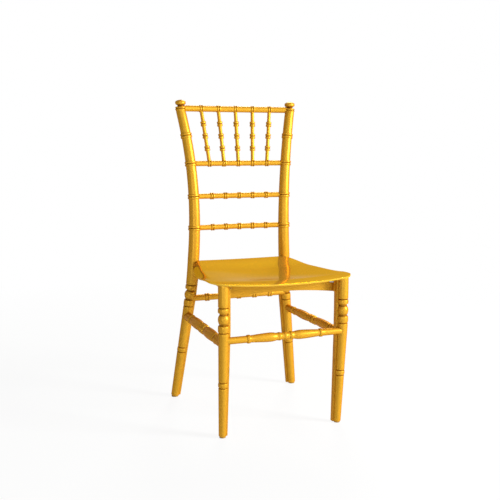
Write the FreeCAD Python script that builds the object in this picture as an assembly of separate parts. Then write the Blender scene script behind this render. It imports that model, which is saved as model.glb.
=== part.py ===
# Chiavari chair in moulded resin, made of pieces that plug and bolt together.
# Millimetres. Z is up from the floor, Y runs from the front of the seat to the back posts, and X is to the
# right as seen from the front. Each right-hand piece is made first and mirrored for the left.
import FreeCAD, Part
import math
import os

V = FreeCAD.Vector
UP = V(0, 0, 1)
ACROSS = V(1, 0, 0)
BACKWARD = V(0, 1, 0)

# Main sizes
CHAIR_HEIGHT = 914.0        # top of the finials
SEAT_RIM_HEIGHT = 427.7     # top of the seat along its sides
SEAT_HALF_WIDTH = 205.0     # at the front corners of the seat
WAIST_X = 145.2             # from the middle of the chair to the axis of a back post, where it is upright
WAIST_Y = 130.1
FRONT_TOP_Y = -224.0        # axis of a front leg under the seat

# Fits between pieces
SHOULDER_GAP = 0.3      # between the end of a bar and the piece that it meets
TENON_GAP = 0.15        # all round a tenon, stem or insert in its socket
SOCKET_END_GAP = 0.5    # past the tip of a tenon
SEAT_GAP = 0.3          # between the underside of the seat and what carries it
SCREW_GAP = 0.1         # all round a screw in its hole, and a bolt in its insert
BOLT_GAP = 0.3          # all round a bolt in a block, apron or leg

# Inside one piece
OVERLAP = 1.0           # how far two stretches of a piece run into each other
RING_ROOT = 0.5         # how far under the surface of a bar its rings start
TENON_ROOT = 6.0        # how far inside its rail or spindle a tenon starts
STRETCHER_TENON_ROOT = 26.0     # where a stretcher's tenon starts, from the axis of the leg
COPE_REACH = 40.0       # stretch of a leg, post or ring that shapes the end of a bar, each way
TRIMMER = 1000.0        # side of a block that trims a piece

# Back post: rear leg, back upright and finial in one bent piece
WAIST_HEIGHT = SEAT_RIM_HEIGHT + 132.3
POST_HEADING = 44.0     # degrees from sideways towards the back: the plane in which the post is bent
REAR_BEND_BOTTOM = SEAT_RIM_HEIGHT - 119.7
REAR_BEND_RADIUS = 1475.0
UPPER_BEND_RADIUS = 1227.0
COLLAR_HEIGHT = CHAIR_HEIGHT - 26.0     # middle of the ring under the finial
COLLAR_RADIUS = 15.8
COLLAR_WIDTH = 8.4
NECK_RADIUS = 9.3
BALL_RADIUS = 15.0
BALL_SIDE_RADIUS = 7.0  # roundness of the flattened ball at its widest
BALL_HEIGHT = 17.5
POST_RING_PROUD = 2.4
POST_RING_WIDTH = 14.2
FREE_RING_HEIGHT = CHAIR_HEIGHT - 106.0     # the one ring on the post where no rail ends

# Front leg
FRONT_TOP_X = SEAT_HALF_WIDTH - 30.9
FRONT_HEADING = 97.0
FRONT_BEND_TOP = SEAT_RIM_HEIGHT - 97.7
FRONT_BEND_BOTTOM = SEAT_RIM_HEIGHT - 167.7
FRONT_BEND_RADIUS = 963.0

# Turned stretch, the same on all four legs
TURNING_BOTTOM = SEAT_RIM_HEIGHT - 136.2
TURNING_HEIGHT = 70.0
BEAD_PROUD = 0.7
GROOVE_DEPTH = 1.6
NECK_DEPTH = 2.6
FRONT_LOW_RING = 149.0  # middle of the pair of grooves low on the leg
REAR_LOW_RING = 154.0
LOW_RING_SPREAD = 15.0
FOOT_ROUND = 3.5

# Square inner corner of a leg: how far it reaches from the axis, inward and along Y, at the floor and above
FRONT_WEB_IN = (14.0, 19.5)
FRONT_WEB_BACK = (13.0, 17.5)
REAR_WEB_IN = (17.5, 20.5)
REAR_WEB_FRONT = (9.0, 11.5)
WEB_FULL_HEIGHT = SEAT_RIM_HEIGHT - 127.7
REAR_WEB_TOP = SEAT_RIM_HEIGHT + 3.3

# Radii of the legs at heights
FRONT_RADII = [(0.0, 10.5), (TURNING_BOTTOM, 14.5)]
POST_RADII = [
    (0.0, 12.3),
    (WEB_FULL_HEIGHT, 15.0),
    (SEAT_RIM_HEIGHT + 12.3, 17.5),
    (WAIST_HEIGHT, 16.6),
    (WAIST_HEIGHT + 100.0, 15.6),
    (COLLAR_HEIGHT, 14.3),
]

# Foot glides
GLIDE_THICKNESS = 3.0
GLIDE_INSET = 2.0
STEM_RADIUS = 4.0
STEM_LENGTH = 14.0

# Rails of the back: name, depth below the finials' top, bow, radius, ring radius, ring width, and the
# spacing of the rings as a share of half the rail's length
RAILS = [
    ("top_rail", 25.2, 9.5, 9.0, 10.9, 10.5, 0.312),
    ("second_rail", 188.5, 6.5, 7.9, 10.2, 11.0, 0.303),
    ("third_rail", 286.5, 6.5, 7.9, 10.2, 11.0, 0.301),
    ("fourth_rail", 381.0, 6.5, 7.9, 10.2, 11.0, 0.299),
]
RINGS_PER_RAIL = 5
RAIL_TENON_RADIUS = 5.0
RAIL_TENON_TIP = 6.0    # from the axis of the post
RING_VEE_DEPTH = 1.3
RING_VEE_HALF = 1.0
RING_BEVEL = 1.2

# Spindles between the top rail and the second rail
SPINDLE_RADIUS = 5.4
SPINDLE_RING_RADIUS = 8.5
SPINDLE_RING_WIDTH = 14.8
SPINDLE_RING_SPACING = 37.4
SPINDLE_TENON_RADIUS = 3.2
SPINDLE_TENON_TIP = 3.5     # from the axis of the rail

# Stretchers
FRONT_STRETCHER_HEIGHT = SEAT_RIM_HEIGHT - 157.2
FRONT_STRETCHER_FORWARD = 3.0   # in front of the axes of the legs
FRONT_STRETCHER_RADIUS = 9.5
BACK_STRETCHER_HEIGHT = SEAT_RIM_HEIGHT - 111.2
BACK_STRETCHER_FORWARD = 2.0
BACK_STRETCHER_RADIUS = 9.5
BACK_STRETCHER_RING_RADIUS = 12.0
BACK_STRETCHER_RING_WIDTH = 14.0
BACK_STRETCHER_RING_SPACING = 51.8
SIDE_STRETCHER_HEIGHT = SEAT_RIM_HEIGHT - 167.7     # axis of the outer, lower bar
SIDE_STRETCHER_OUT = 3.5        # outer bar, outside the axes of the legs
TWIN_IN = 5.0                   # from the outer bar to the inner one
TWIN_UP = 5.5
SIDE_STRETCHER_RADIUS = 9.6
SIDE_PATTERN_FORWARD = 4.2      # middle of the turned pattern, in front of the middle of the bar
STRETCHER_TENON_RADIUS = 6.0
FRONT_TENON_TIP = 4.0           # from the axis of the leg
SIDE_TENON_TIP = 6.0

# Seat panel
SEAT_THICKNESS = 4.6
SEAT_FRONT_Y = FRONT_TOP_Y - 38.0
SEAT_REAR_Y = WAIST_Y - 14.1
SEAT_REAR_HALF_WIDTH = WAIST_X + 11.8
SEAT_SIDE_POWER = 1.6           # how late the sides draw in towards the back
SEAT_FRONT_RADIUS = 730.0
SEAT_CORNER_RADIUS = 48.0
SEAT_REAR_CORNER_RADIUS = 8.0
SEAT_SHOULDER_Y = SEAT_REAR_Y - 131.0   # where the rise to the back starts
SEAT_RISE_END_Y = SEAT_REAR_Y - 16.0
SEAT_REAR_RISE = 8.3
SEAT_FRONT_DROP = 6.3
SEAT_FRONT_DROP_DEPTH = 62.0
SIDE_ROLL_DEPTH = 19.0          # how far the side rolls down at the back
SIDE_ROLL_WIDTH = 20.0
SIDE_ROLL_START_Y = SEAT_FRONT_Y + 77.0
DISH_DEPTH = 9.0
DISH_MIDDLE_Y = (SEAT_FRONT_Y + SEAT_REAR_Y) / 2 - 12.0
DISH_HALF_LENGTH = (SEAT_REAR_Y - SEAT_FRONT_Y) / 2 - 39.0
DISH_FRONT_HALF_WIDTH = SEAT_HALF_WIDTH - 37.0
DISH_REAR_HALF_WIDTH = SEAT_REAR_HALF_WIDTH - 33.0
DISH_POWER = 5
SEAT_TOP_ROUND = 1.8
SEAT_UNDER_ROUND = 0.8
SEAT_MARGIN = 12.0              # how far the surfaces of the seat are made past its outline
SEAT_MIDDLE_COLUMNS = 12        # columns of the surface's net between the rolled sides
SEAT_ROLL_COLUMNS = 6           # columns across a rolled side
SEAT_ROWS = 24

# Aprons under the seat
APRON_THICKNESS = 8.0
FRONT_APRON_Y = FRONT_TOP_Y + 24.0      # front face
FRONT_APRON_BOTTOM = SEAT_RIM_HEIGHT - 49.7
FRONT_APRON_ARCH = 10.0
SIDE_APRON_BOTTOM = SEAT_RIM_HEIGHT - 28.7
SIDE_APRON_FRONT_X = FRONT_TOP_X - 9.1      # outer face at the front leg
SIDE_APRON_REAR_X = WAIST_X - 3.2           # outer face at the lug of the post
LUG_FRONT_Y = WAIST_Y - 32.1
LUG_OUTER_X = WAIST_X + 1.8
LUG_BOTTOM = SEAT_RIM_HEIGHT - 31.7

# Corner blocks, screws and bolts
BLOCK_REACH = 45.0              # along each apron from the corner
BLOCK_END = 10.0
BLOCK_TOP = SEAT_RIM_HEIGHT - 13.7
BLOCK_THICKNESS = 16.0
BLOCK_BOTTOM = BLOCK_TOP - BLOCK_THICKNESS
BOLT_HEIGHT = BLOCK_TOP - BLOCK_THICKNESS / 2
BOLT_RADIUS = 3.0
BOLT_PAST_END = 2.0             # depth of its hole past the bolt
BOLT_IN_INSERT = 11.0
FLANGE_RADIUS = 7.0
FLANGE_THICKNESS = 1.6
BOLT_HEAD_RADIUS = 5.0
BOLT_HEAD_LENGTH = 5.0
KEY_RADIUS = 2.6
KEY_DEPTH = 3.0
INSERT_RADIUS = 5.0
INSERT_LENGTH = 12.0
FRONT_INSERT_START = 58.0       # from the flange of the bolt
REAR_INSERT_START = 44.0
REAR_BOLT_IN = 8.0              # where the rear bolt meets the rear apron, from the side apron
SCREW_RADIUS = 1.75
SCREW_HEAD_RADIUS = 3.6
SCREW_HEAD_LENGTH = 2.4
SCREW_BITE = 6.0                # into the apron or the boss
SCREW_SEAT = 8.0                # block left under the head
COUNTERBORE_DEPTH = 20.0
BLOCK_SCREW_ALONG = 38.0
SEAT_SCREW_ALONG = 24.0
SEAT_SCREW_IN = 9.0
BOSS_RADIUS = 6.5


def between(height, stations):
    """Value at a height, straight between (height, value) stations and level beyond the last ones."""
    if height <= stations[0][0]:
        return stations[0][1]
    for (low, low_value), (high, high_value) in zip(stations, stations[1:]):
        if height <= high:
            return low_value + (high_value - low_value) * (height - low) / (high - low)
    return stations[-1][1]


class LegAxis:
    """Axis of a leg in one upright plane: upright at the top of its bend, round below, then straight.

    With an upper radius it bends away again above that level, as a back post does.
    """

    def __init__(self, x, y, heading, bend_top, bend_bottom, radius, upper_radius=None):
        self.x = x
        self.y = y
        self.heading = math.radians(heading)
        self.bend_top = bend_top
        self.bend_bottom = bend_bottom
        self.radius = radius
        self.upper_radius = upper_radius

    def offset(self, height):
        if height > self.bend_top:
            if self.upper_radius is None:
                return 0.0
            return self.upper_radius - math.sqrt(self.upper_radius ** 2 - (height - self.bend_top) ** 2)
        depth = self.bend_top - max(height, self.bend_bottom)
        run = math.sqrt(self.radius ** 2 - depth ** 2)
        return self.radius - run + max(self.bend_bottom - height, 0.0) * depth / run

    def point(self, height):
        offset = self.offset(height)
        return V(self.x + offset * math.cos(self.heading), self.y + offset * math.sin(self.heading), height)

    def direction(self, height):
        return (self.point(height + 0.5) - self.point(height - 0.5)).normalize()


POST = LegAxis(
    WAIST_X, WAIST_Y, POST_HEADING, WAIST_HEIGHT, REAR_BEND_BOTTOM, REAR_BEND_RADIUS, UPPER_BEND_RADIUS)
FRONT = LegAxis(
    FRONT_TOP_X, FRONT_TOP_Y, FRONT_HEADING, FRONT_BEND_TOP, FRONT_BEND_BOTTOM, FRONT_BEND_RADIUS)


def post_radius(height):
    return between(height, POST_RADII)


def front_radius(height):
    return between(height, FRONT_RADII)


def placed(shape, base, direction):
    """The shape with its own Z laid along a direction from a base point."""
    shape.Placement = FreeCAD.Placement(base, FreeCAD.Rotation(UP, direction))
    return shape


def rod(start, end, radius):
    """Plain round bar between two points."""
    return Part.makeCylinder(radius, (end - start).Length, start, end - start)


def prism(points, run):
    """Solid with a flat base through the points, drawn out along a vector."""
    return Part.Face(Part.makePolygon(points + points[:1])).extrude(run)


def beyond(point, direction):
    """Block that trims whatever lies past the level plane through a point, in that direction."""
    half = TRIMMER / 2
    square = [V(-half, -half, 0), V(half, -half, 0), V(half, half, 0), V(-half, half, 0)]
    return placed(prism(square, UP * TRIMMER), point, direction)


def evenly(low, high, count):
    """Evenly spaced values from low to high, both of them included."""
    return [low + (high - low) * index / (count - 1) for index in range(count)]


def turned(base, direction, steps):
    """Turned solid about an axis. A step is (height, radius), or (height, radius, mid height, mid radius)
    where the outline is round."""
    start = V(0, 0, steps[0][0])
    here = start
    edges = []
    for step in steps:
        there = V(step[1], 0, step[0])
        if len(step) == 4:
            edges.append(Part.Arc(here, V(step[3], 0, step[2]), there).toShape())
        else:
            edges.append(Part.LineSegment(here, there).toShape())
        here = there
    foot = V(0, 0, here.z)
    if here.x > 0:
        edges.append(Part.LineSegment(here, foot).toShape())
    edges.append(Part.LineSegment(foot, start).toShape())
    solid = Part.Face(Part.Wire(edges)).revolve(V(0, 0, 0), UP, 360)
    return placed(solid, base, direction)


def column(sections):
    """Smooth round column through (centre, direction, radius) sections."""
    wires = []
    for centre, direction, radius in sections:
        circle = Part.Wire([Part.Circle(V(0, 0, 0), UP, radius).toShape()])
        wires.append(placed(circle, centre, direction))
    return Part.makeLoft(wires, True, False)


def double_ring(width, root, crest):
    """Steps of two bands with a V groove between them, centred on height 0."""
    half = width / 2
    return [
        (-half, root),
        (-half + RING_BEVEL, crest),
        (-RING_VEE_HALF, crest),
        (0, crest - RING_VEE_DEPTH),
        (RING_VEE_HALF, crest),
        (half - RING_BEVEL, crest),
        (half, root),
    ]


def both_ways(half_steps):
    """Steps of a bar that is alike on both sides of height 0, from the steps of its upper half."""
    lower = []
    for before, step in zip(half_steps, half_steps[1:]):
        if len(step) == 4:
            lower.append((-before[0], before[1], -step[2], step[3]))
        else:
            lower.append((-before[0], before[1]))
    lower.reverse()
    end = half_steps[-1]
    return [(-end[0], end[1])] + lower + half_steps[1:]


def mirrored(shape):
    """The left-hand copy of a right-hand piece."""
    return shape.mirror(V(0, 0, 0), ACROSS)


def leg_web(axis, inward, along, heights, grown=0.0):
    """Square inner corner of a leg, through rectangles at the given heights. A negative reach along Y
    goes to the front."""
    wires = []
    for height in heights:
        centre = axis.point(height)
        reach_in = between(height, [(0.0, inward[0]), (WEB_FULL_HEIGHT, inward[1])]) + grown
        reach_along = between(height, [(0.0, along[0]), (WEB_FULL_HEIGHT, along[1])])
        reach_along += math.copysign(grown, reach_along)
        corner = V(centre.x - reach_in, centre.y + reach_along, height)
        inner = V(corner.x, centre.y, height)
        outer = V(centre.x, corner.y, height)
        wires.append(Part.makePolygon([centre, inner, corner, outer, centre]))
    return Part.makeLoft(wires, True, True)


def front_web(heights, grown=0.0):
    return leg_web(FRONT, FRONT_WEB_IN, FRONT_WEB_BACK, heights, grown)


def rear_web(heights, grown=0.0):
    to_front = (-REAR_WEB_FRONT[0], -REAR_WEB_FRONT[1])
    return leg_web(POST, REAR_WEB_IN, to_front, heights, grown)


def leg_turning(low_radius, high_radius):
    """Steps of the turned stretch of a leg from the bottom up: ring, neck, long bulb, cove and bead."""
    bead = high_radius + BEAD_PROUD
    groove = low_radius - GROOVE_DEPTH
    neck = low_radius - NECK_DEPTH
    return [
        (0, low_radius),
        (1.2, groove),
        (2.5, low_radius),
        (20.0, low_radius, 11.2, low_radius + BEAD_PROUD),
        (21.4, neck),
        (49.5, neck, 37.0, bead),
        (54.2, neck),
        (55.0, bead - 0.6),
        (66.5, bead - 0.6, 60.7, bead),
        (68.3, high_radius - GROOVE_DEPTH),
        (TURNING_HEIGHT, high_radius),
    ]


def groove_pair(radius, spread):
    """Steps of two V grooves low on a leg with a slight bead between them, centred on height 0."""
    half = spread / 2
    half_steps = [
        (0, radius + 0.5),
        (half - 1.5, radius),
        (half, radius - GROOVE_DEPTH),
        (half + 1.5, radius),
    ]
    return both_ways(half_steps)


def leg_lower_part(axis, radius_at, low_ring):
    """Foot, shaft and turned stretch of a leg, up to the top of the turned stretch."""
    foot_radius = radius_at(GLIDE_THICKNESS)
    foot_direction = axis.direction(GLIDE_THICKNESS)
    foot_base = axis.point(GLIDE_THICKNESS)
    foot_top = foot_base + foot_direction * FOOT_ROUND
    bend = FOOT_ROUND * (1 - math.sqrt(0.5))
    foot_steps = [
        (0, foot_radius - FOOT_ROUND),
        (FOOT_ROUND, foot_radius, bend, foot_radius - bend),
    ]
    foot = turned(foot_base, foot_direction, foot_steps)

    ring_radius = radius_at(low_ring)
    ring_direction = axis.direction(low_ring)
    ring_steps = groove_pair(ring_radius, LOW_RING_SPREAD)
    ring = turned(axis.point(low_ring), ring_direction, ring_steps)
    ring_half = ring_steps[-1][0]
    ring_low = axis.point(low_ring) - ring_direction * ring_half
    ring_high = axis.point(low_ring) + ring_direction * ring_half
    shin = column([(foot_top, foot_direction, foot_radius), (ring_low, ring_direction, ring_radius)])

    turning_base = axis.point(TURNING_BOTTOM)
    turning_direction = (axis.point(TURNING_BOTTOM + TURNING_HEIGHT) - turning_base).normalize()
    low_radius = radius_at(TURNING_BOTTOM)
    high_radius = radius_at(TURNING_BOTTOM + TURNING_HEIGHT)
    turning = turned(turning_base, turning_direction, leg_turning(low_radius, high_radius))
    middle = (low_ring + TURNING_BOTTOM) / 2
    shaft = column([
        (ring_high, ring_direction, ring_radius),
        (axis.point(middle), axis.direction(middle), radius_at(middle)),
        (turning_base, turning_direction, low_radius),
    ])
    return [foot, shin, ring, shaft, turning]


def upper_sections(axis, radius_at, top, count):
    """Sections of the plain column from the top of the turned stretch to a height."""
    start = TURNING_BOTTOM + TURNING_HEIGHT
    base = axis.point(TURNING_BOTTOM)
    direction = (axis.point(start) - base).normalize()
    sections = [(base + direction * TURNING_HEIGHT, direction, radius_at(start))]
    for height in evenly(start, top, count + 1)[1:]:
        sections.append((axis.point(height), axis.direction(height), radius_at(height)))
    return sections


def glide_socket(axis):
    """Room for the stem of a foot glide."""
    base = axis.point(0)
    depth = GLIDE_THICKNESS + STEM_LENGTH + SOCKET_END_GAP
    return rod(base, base + axis.direction(0) * depth, STEM_RADIUS + TENON_GAP)


def below(height):
    return beyond(V(0, 0, height), V(0, 0, -1))


def foot_glide(axis, radius_at):
    """Round pad under a leg with a stem up into it."""
    base = axis.point(0)
    direction = axis.direction(0)
    pad = Part.makeCylinder(radius_at(0) - GLIDE_INSET, GLIDE_THICKNESS, base)
    stem = rod(base, base + direction * (GLIDE_THICKNESS + STEM_LENGTH), STEM_RADIUS)
    return pad.fuse(stem).cut(below(0)).removeSplitter()


def seat_corner_centre():
    """Centre of the right-hand front corner in the plan of the seat."""
    x = SEAT_HALF_WIDTH - SEAT_CORNER_RADIUS
    distance = SEAT_FRONT_RADIUS - SEAT_CORNER_RADIUS
    return V(x, SEAT_FRONT_Y + SEAT_FRONT_RADIUS - math.sqrt(distance ** 2 - x ** 2), 0)


def seat_side(y):
    """Half the width of the seat: full at the front corners, drawing in towards the back."""
    start = seat_corner_centre().y
    share = max((y - start) / (SEAT_REAR_Y - start), 0)
    return SEAT_HALF_WIDTH - (SEAT_HALF_WIDTH - SEAT_REAR_HALF_WIDTH) * share ** SEAT_SIDE_POWER


def seat_height(x, y):
    """Height of the top of the seat: a rise to the back, a drop to the front, a dish and rolled sides."""
    back = min(max((y - SEAT_SHOULDER_Y) / (SEAT_RISE_END_Y - SEAT_SHOULDER_Y), 0), 1)
    rise = SEAT_REAR_RISE * back * back * (3 - 2 * back)
    front = max((SEAT_FRONT_Y + SEAT_FRONT_DROP_DEPTH - y) / SEAT_FRONT_DROP_DEPTH, 0)
    drop = SEAT_FRONT_DROP * front * front
    share = (y - SEAT_FRONT_Y) / (SEAT_REAR_Y - SEAT_FRONT_Y)
    half_width = DISH_FRONT_HALF_WIDTH + (DISH_REAR_HALF_WIDTH - DISH_FRONT_HALF_WIDTH) * share
    across = abs(x / half_width) ** DISH_POWER
    along = abs((y - DISH_MIDDLE_Y) / DISH_HALF_LENGTH) ** DISH_POWER
    dish = DISH_DEPTH * math.exp(-across - along)
    rolled = max(1 - (seat_side(y) - abs(x)) / SIDE_ROLL_WIDTH, 0)
    if rolled > 1:
        rolled = math.sqrt(2 * rolled - 1)
    fade = min(max((y - SIDE_ROLL_START_Y) / (SEAT_SHOULDER_Y - SIDE_ROLL_START_Y), 0), 1)
    roll = SIDE_ROLL_DEPTH * fade * fade * (3 - 2 * fade) * rolled * rolled
    return SEAT_RIM_HEIGHT + rise - drop - dish - roll


def seat_under_height(x, y):
    """Height of the underside of the seat, so that the panel is equally thick where it slopes."""
    step = 0.5
    slope_x = (seat_height(x + step, y) - seat_height(x - step, y)) / (2 * step)
    slope_y = (seat_height(x, y + step) - seat_height(x, y - step)) / (2 * step)
    return seat_height(x, y) - SEAT_THICKNESS * math.sqrt(1 + slope_x ** 2 + slope_y ** 2)


def seat_surface(height_at, lowered=0.0):
    """Surface over the whole seat and a margin round it, closer netted where the sides roll down."""
    rolled = evenly(SEAT_MARGIN, -SIDE_ROLL_WIDTH, SEAT_ROLL_COLUMNS)
    columns = []
    for y in evenly(SEAT_FRONT_Y - SEAT_MARGIN, SEAT_REAR_Y + SEAT_MARGIN, SEAT_ROWS):
        side = seat_side(y)
        right = [side + out for out in rolled]
        middle = evenly(right[-1], -right[-1], SEAT_MIDDLE_COLUMNS)[1:-1]
        line = right + middle + [-x for x in reversed(right)]
        columns.append([V(x, y, height_at(x, y) - lowered) for x in line])
    surface = Part.BSplineSurface()
    surface.interpolate(columns)
    return surface.toShape()


def seat_outline():
    """Plan of the seat: bowed front, round front corners, sides that draw in, small round rear corners."""
    front_centre = V(0, SEAT_FRONT_Y + SEAT_FRONT_RADIUS, 0)
    corner = seat_corner_centre()
    to_front = (corner - front_centre).normalize()
    front_end = corner + to_front * SEAT_CORNER_RADIUS
    side_start = corner + ACROSS * SEAT_CORNER_RADIUS
    corner_mid = corner + (to_front + ACROSS).normalize() * SEAT_CORNER_RADIUS
    rear_y = SEAT_REAR_Y - SEAT_REAR_CORNER_RADIUS
    rear_centre = V(seat_side(rear_y) - SEAT_REAR_CORNER_RADIUS, rear_y, 0)
    side_end = rear_centre + ACROSS * SEAT_REAR_CORNER_RADIUS
    rear_start = rear_centre + BACKWARD * SEAT_REAR_CORNER_RADIUS
    rear_mid = rear_centre + (ACROSS + BACKWARD).normalize() * SEAT_REAR_CORNER_RADIUS
    side = Part.BSplineCurve()
    side.interpolate([V(seat_side(y), y, 0) for y in evenly(side_start.y, side_end.y, 6)])
    right = [
        Part.Arc(front_end, corner_mid, side_start).toShape(),
        side.toShape(),
        Part.Arc(side_end, rear_mid, rear_start).toShape(),
    ]
    left = [edge.mirror(V(0, 0, 0), ACROSS) for edge in right]
    front_left = V(-front_end.x, front_end.y, 0)
    front = Part.Arc(front_left, V(0, SEAT_FRONT_Y, 0), front_end).toShape()
    rear = Part.LineSegment(rear_start, V(-rear_start.x, rear_start.y, 0)).toShape()
    edges = Part.sortEdges([front, rear] + right + left)[0]
    return Part.Wire(edges)


def above_carriers():
    """Everything over the underside of the seat, less the gap to what carries it."""
    return seat_surface(seat_under_height, SEAT_GAP).extrude(UP * TRIMMER)


def side_apron_ends():
    """Front and rear end of the side apron: behind the front leg and before the lug of the post."""
    return FRONT_TOP_Y + FRONT_WEB_BACK[1] + SHOULDER_GAP, LUG_FRONT_Y - SHOULDER_GAP


def side_apron_inner_x(y):
    """Inner face of the side apron at a place along the chair."""
    front, rear = side_apron_ends()
    share = (y - front) / (rear - front)
    return SIDE_APRON_FRONT_X + (SIDE_APRON_REAR_X - SIDE_APRON_FRONT_X) * share - APRON_THICKNESS


def side_apron(above):
    """Straight board from the back of the front leg to the lug of the post."""
    front, rear = side_apron_ends()
    points = [
        V(SIDE_APRON_FRONT_X, front, SIDE_APRON_BOTTOM),
        V(SIDE_APRON_REAR_X, rear, SIDE_APRON_BOTTOM),
        V(SIDE_APRON_REAR_X - APRON_THICKNESS, rear, SIDE_APRON_BOTTOM),
        V(SIDE_APRON_FRONT_X - APRON_THICKNESS, front, SIDE_APRON_BOTTOM),
    ]
    height = SEAT_RIM_HEIGHT + SEAT_REAR_RISE - SIDE_APRON_BOTTOM
    return prism(points, UP * height).cut(above)


def front_apron(above):
    """Board between the side aprons with its lower edge arched."""
    end_front = side_apron_inner_x(FRONT_APRON_Y)
    end_back = side_apron_inner_x(FRONT_APRON_Y + APRON_THICKNESS)
    top = SEAT_RIM_HEIGHT
    left_foot = V(-end_front, FRONT_APRON_Y, FRONT_APRON_BOTTOM)
    right_foot = V(end_front, FRONT_APRON_Y, FRONT_APRON_BOTTOM)
    crown = V(0, FRONT_APRON_Y, FRONT_APRON_BOTTOM + FRONT_APRON_ARCH)
    edges = [
        Part.Arc(left_foot, crown, right_foot).toShape(),
        Part.LineSegment(right_foot, V(end_front, FRONT_APRON_Y, top)).toShape(),
        Part.LineSegment(V(end_front, FRONT_APRON_Y, top), V(-end_front, FRONT_APRON_Y, top)).toShape(),
        Part.LineSegment(V(-end_front, FRONT_APRON_Y, top), left_foot).toShape(),
    ]
    board = Part.Face(Part.Wire(edges)).extrude(BACKWARD * APRON_THICKNESS)
    plan = [
        V(-end_front, FRONT_APRON_Y, 0),
        V(end_front, FRONT_APRON_Y, 0),
        V(end_back, FRONT_APRON_Y + APRON_THICKNESS, 0),
        V(-end_back, FRONT_APRON_Y + APRON_THICKNESS, 0),
    ]
    return board.common(prism(plan, UP * CHAIR_HEIGHT)).cut(above)


def rear_apron(above):
    """Board between the lugs of the posts."""
    half = POST.point(REAR_WEB_TOP).x - REAR_WEB_IN[1]
    height = SEAT_RIM_HEIGHT + SEAT_REAR_RISE - SIDE_APRON_BOTTOM
    board = Part.makeBox(2 * half, APRON_THICKNESS, height, V(-half, LUG_FRONT_Y, SIDE_APRON_BOTTOM))
    return board.cut(above)


def post_lug(above):
    """Shelf on the front of the post that carries the rear corner of the seat."""
    centre = POST.point(REAR_WEB_TOP)
    inner = centre.x - REAR_WEB_IN[1]
    points = [
        V(inner, LUG_FRONT_Y, LUG_BOTTOM),
        V(LUG_OUTER_X, LUG_FRONT_Y, LUG_BOTTOM),
        V(LUG_OUTER_X, centre.y, LUG_BOTTOM),
        V(inner, centre.y, LUG_BOTTOM),
    ]
    return prism(points, UP * (REAR_WEB_TOP - LUG_BOTTOM)).cut(above)


class Rail:
    """One bowed cross rail of the back, with its axis as an arc between the axes of the posts."""

    def __init__(self, name, depth, bow, radius, ring_radius, ring_width, ring_share):
        self.name = name
        self.height = CHAIR_HEIGHT - depth
        self.radius = radius
        self.ring_radius = ring_radius
        self.ring_width = ring_width
        self.end = POST.point(self.height)
        self.pitch = self.end.x * ring_share
        self.bend = (self.end.x ** 2 + bow ** 2) / (2 * bow)
        self.centre_y = self.end.y + bow - self.bend

    def point(self, x):
        return V(x, self.centre_y + math.sqrt(self.bend ** 2 - x ** 2), self.height)

    def direction(self, x):
        return V(math.sqrt(self.bend ** 2 - x ** 2), -x, 0).normalize()

    def ring_places(self):
        middle = (RINGS_PER_RAIL - 1) / 2
        return [self.pitch * (index - middle) for index in range(RINGS_PER_RAIL)]

    def body(self):
        start = self.point(-self.end.x)
        circle = Part.Wire([Part.Circle(start, self.direction(-self.end.x), self.radius).toShape()])
        sweep = math.degrees(2 * math.asin(self.end.x / self.bend))
        bar = Part.Face(circle).revolve(V(0, self.centre_y, 0), V(0, 0, -1), sweep)
        steps = double_ring(self.ring_width, self.radius - RING_ROOT, self.ring_radius)
        rings = [turned(self.point(x), self.direction(x), steps) for x in self.ring_places()]
        return bar.multiFuse(rings)

    def tenon(self, gap=0.0, end_gap=0.0):
        """Right-hand tenon, or with gaps the room for it in the post."""
        direction = self.direction(self.end.x)
        start = self.end - direction * (post_radius(self.height) + POST_RING_PROUD + TENON_ROOT)
        tip = self.end - direction * (RAIL_TENON_TIP - end_gap)
        return rod(start, tip, RAIL_TENON_RADIUS + gap)

    def post_room(self):
        """The right-hand post and its ring, with a gap, as the end of the rail sees them."""
        radius = post_radius(self.height) + POST_RING_PROUD + SHOULDER_GAP
        direction = POST.direction(self.height)
        return rod(self.end - direction * COPE_REACH, self.end + direction * COPE_REACH, radius)


BACK_RAILS = [Rail(*values) for values in RAILS]
TOP_RAIL = BACK_RAILS[0]
SECOND_RAIL = BACK_RAILS[1]


def spindle_ends(index):
    """Where the axis of a spindle meets the axes of the second rail and the top rail."""
    low = SECOND_RAIL.point(SECOND_RAIL.ring_places()[index])
    high = TOP_RAIL.point(TOP_RAIL.ring_places()[index])
    return low, high


def spindle_tenon(rail, index, gap=0.0, end_gap=0.0):
    """Tenon of a spindle in a rail, or with gaps the room for it."""
    low, high = spindle_ends(index)
    direction = (high - low).normalize()
    if rail is SECOND_RAIL:
        place = low
    else:
        place = high
        direction = direction * -1
    start = place + direction * (rail.ring_radius + TENON_ROOT)
    tip = place + direction * (SPINDLE_TENON_TIP - end_gap)
    return rod(start, tip, SPINDLE_TENON_RADIUS + gap)


def ring_room(rail, index):
    """The ring of a rail, with a gap, as the end of a spindle sees it."""
    x = rail.ring_places()[index]
    centre = rail.point(x)
    reach = rail.direction(x) * COPE_REACH
    return rod(centre - reach, centre + reach, rail.ring_radius + SHOULDER_GAP)


def spindle(index):
    low, high = spindle_ends(index)
    direction = (high - low).normalize()
    middle = (low + high) * 0.5
    bar = rod(low, high, SPINDLE_RADIUS)
    steps = double_ring(SPINDLE_RING_WIDTH, SPINDLE_RADIUS - RING_ROOT, SPINDLE_RING_RADIUS)
    rings = []
    for place in (-SPINDLE_RING_SPACING, 0, SPINDLE_RING_SPACING):
        rings.append(turned(middle + direction * place, direction, steps))
    body = bar.multiFuse(rings)
    body = body.cut([ring_room(SECOND_RAIL, index), ring_room(TOP_RAIL, index)])
    tenons = [spindle_tenon(SECOND_RAIL, index), spindle_tenon(TOP_RAIL, index)]
    return body.multiFuse(tenons).removeSplitter()


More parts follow.
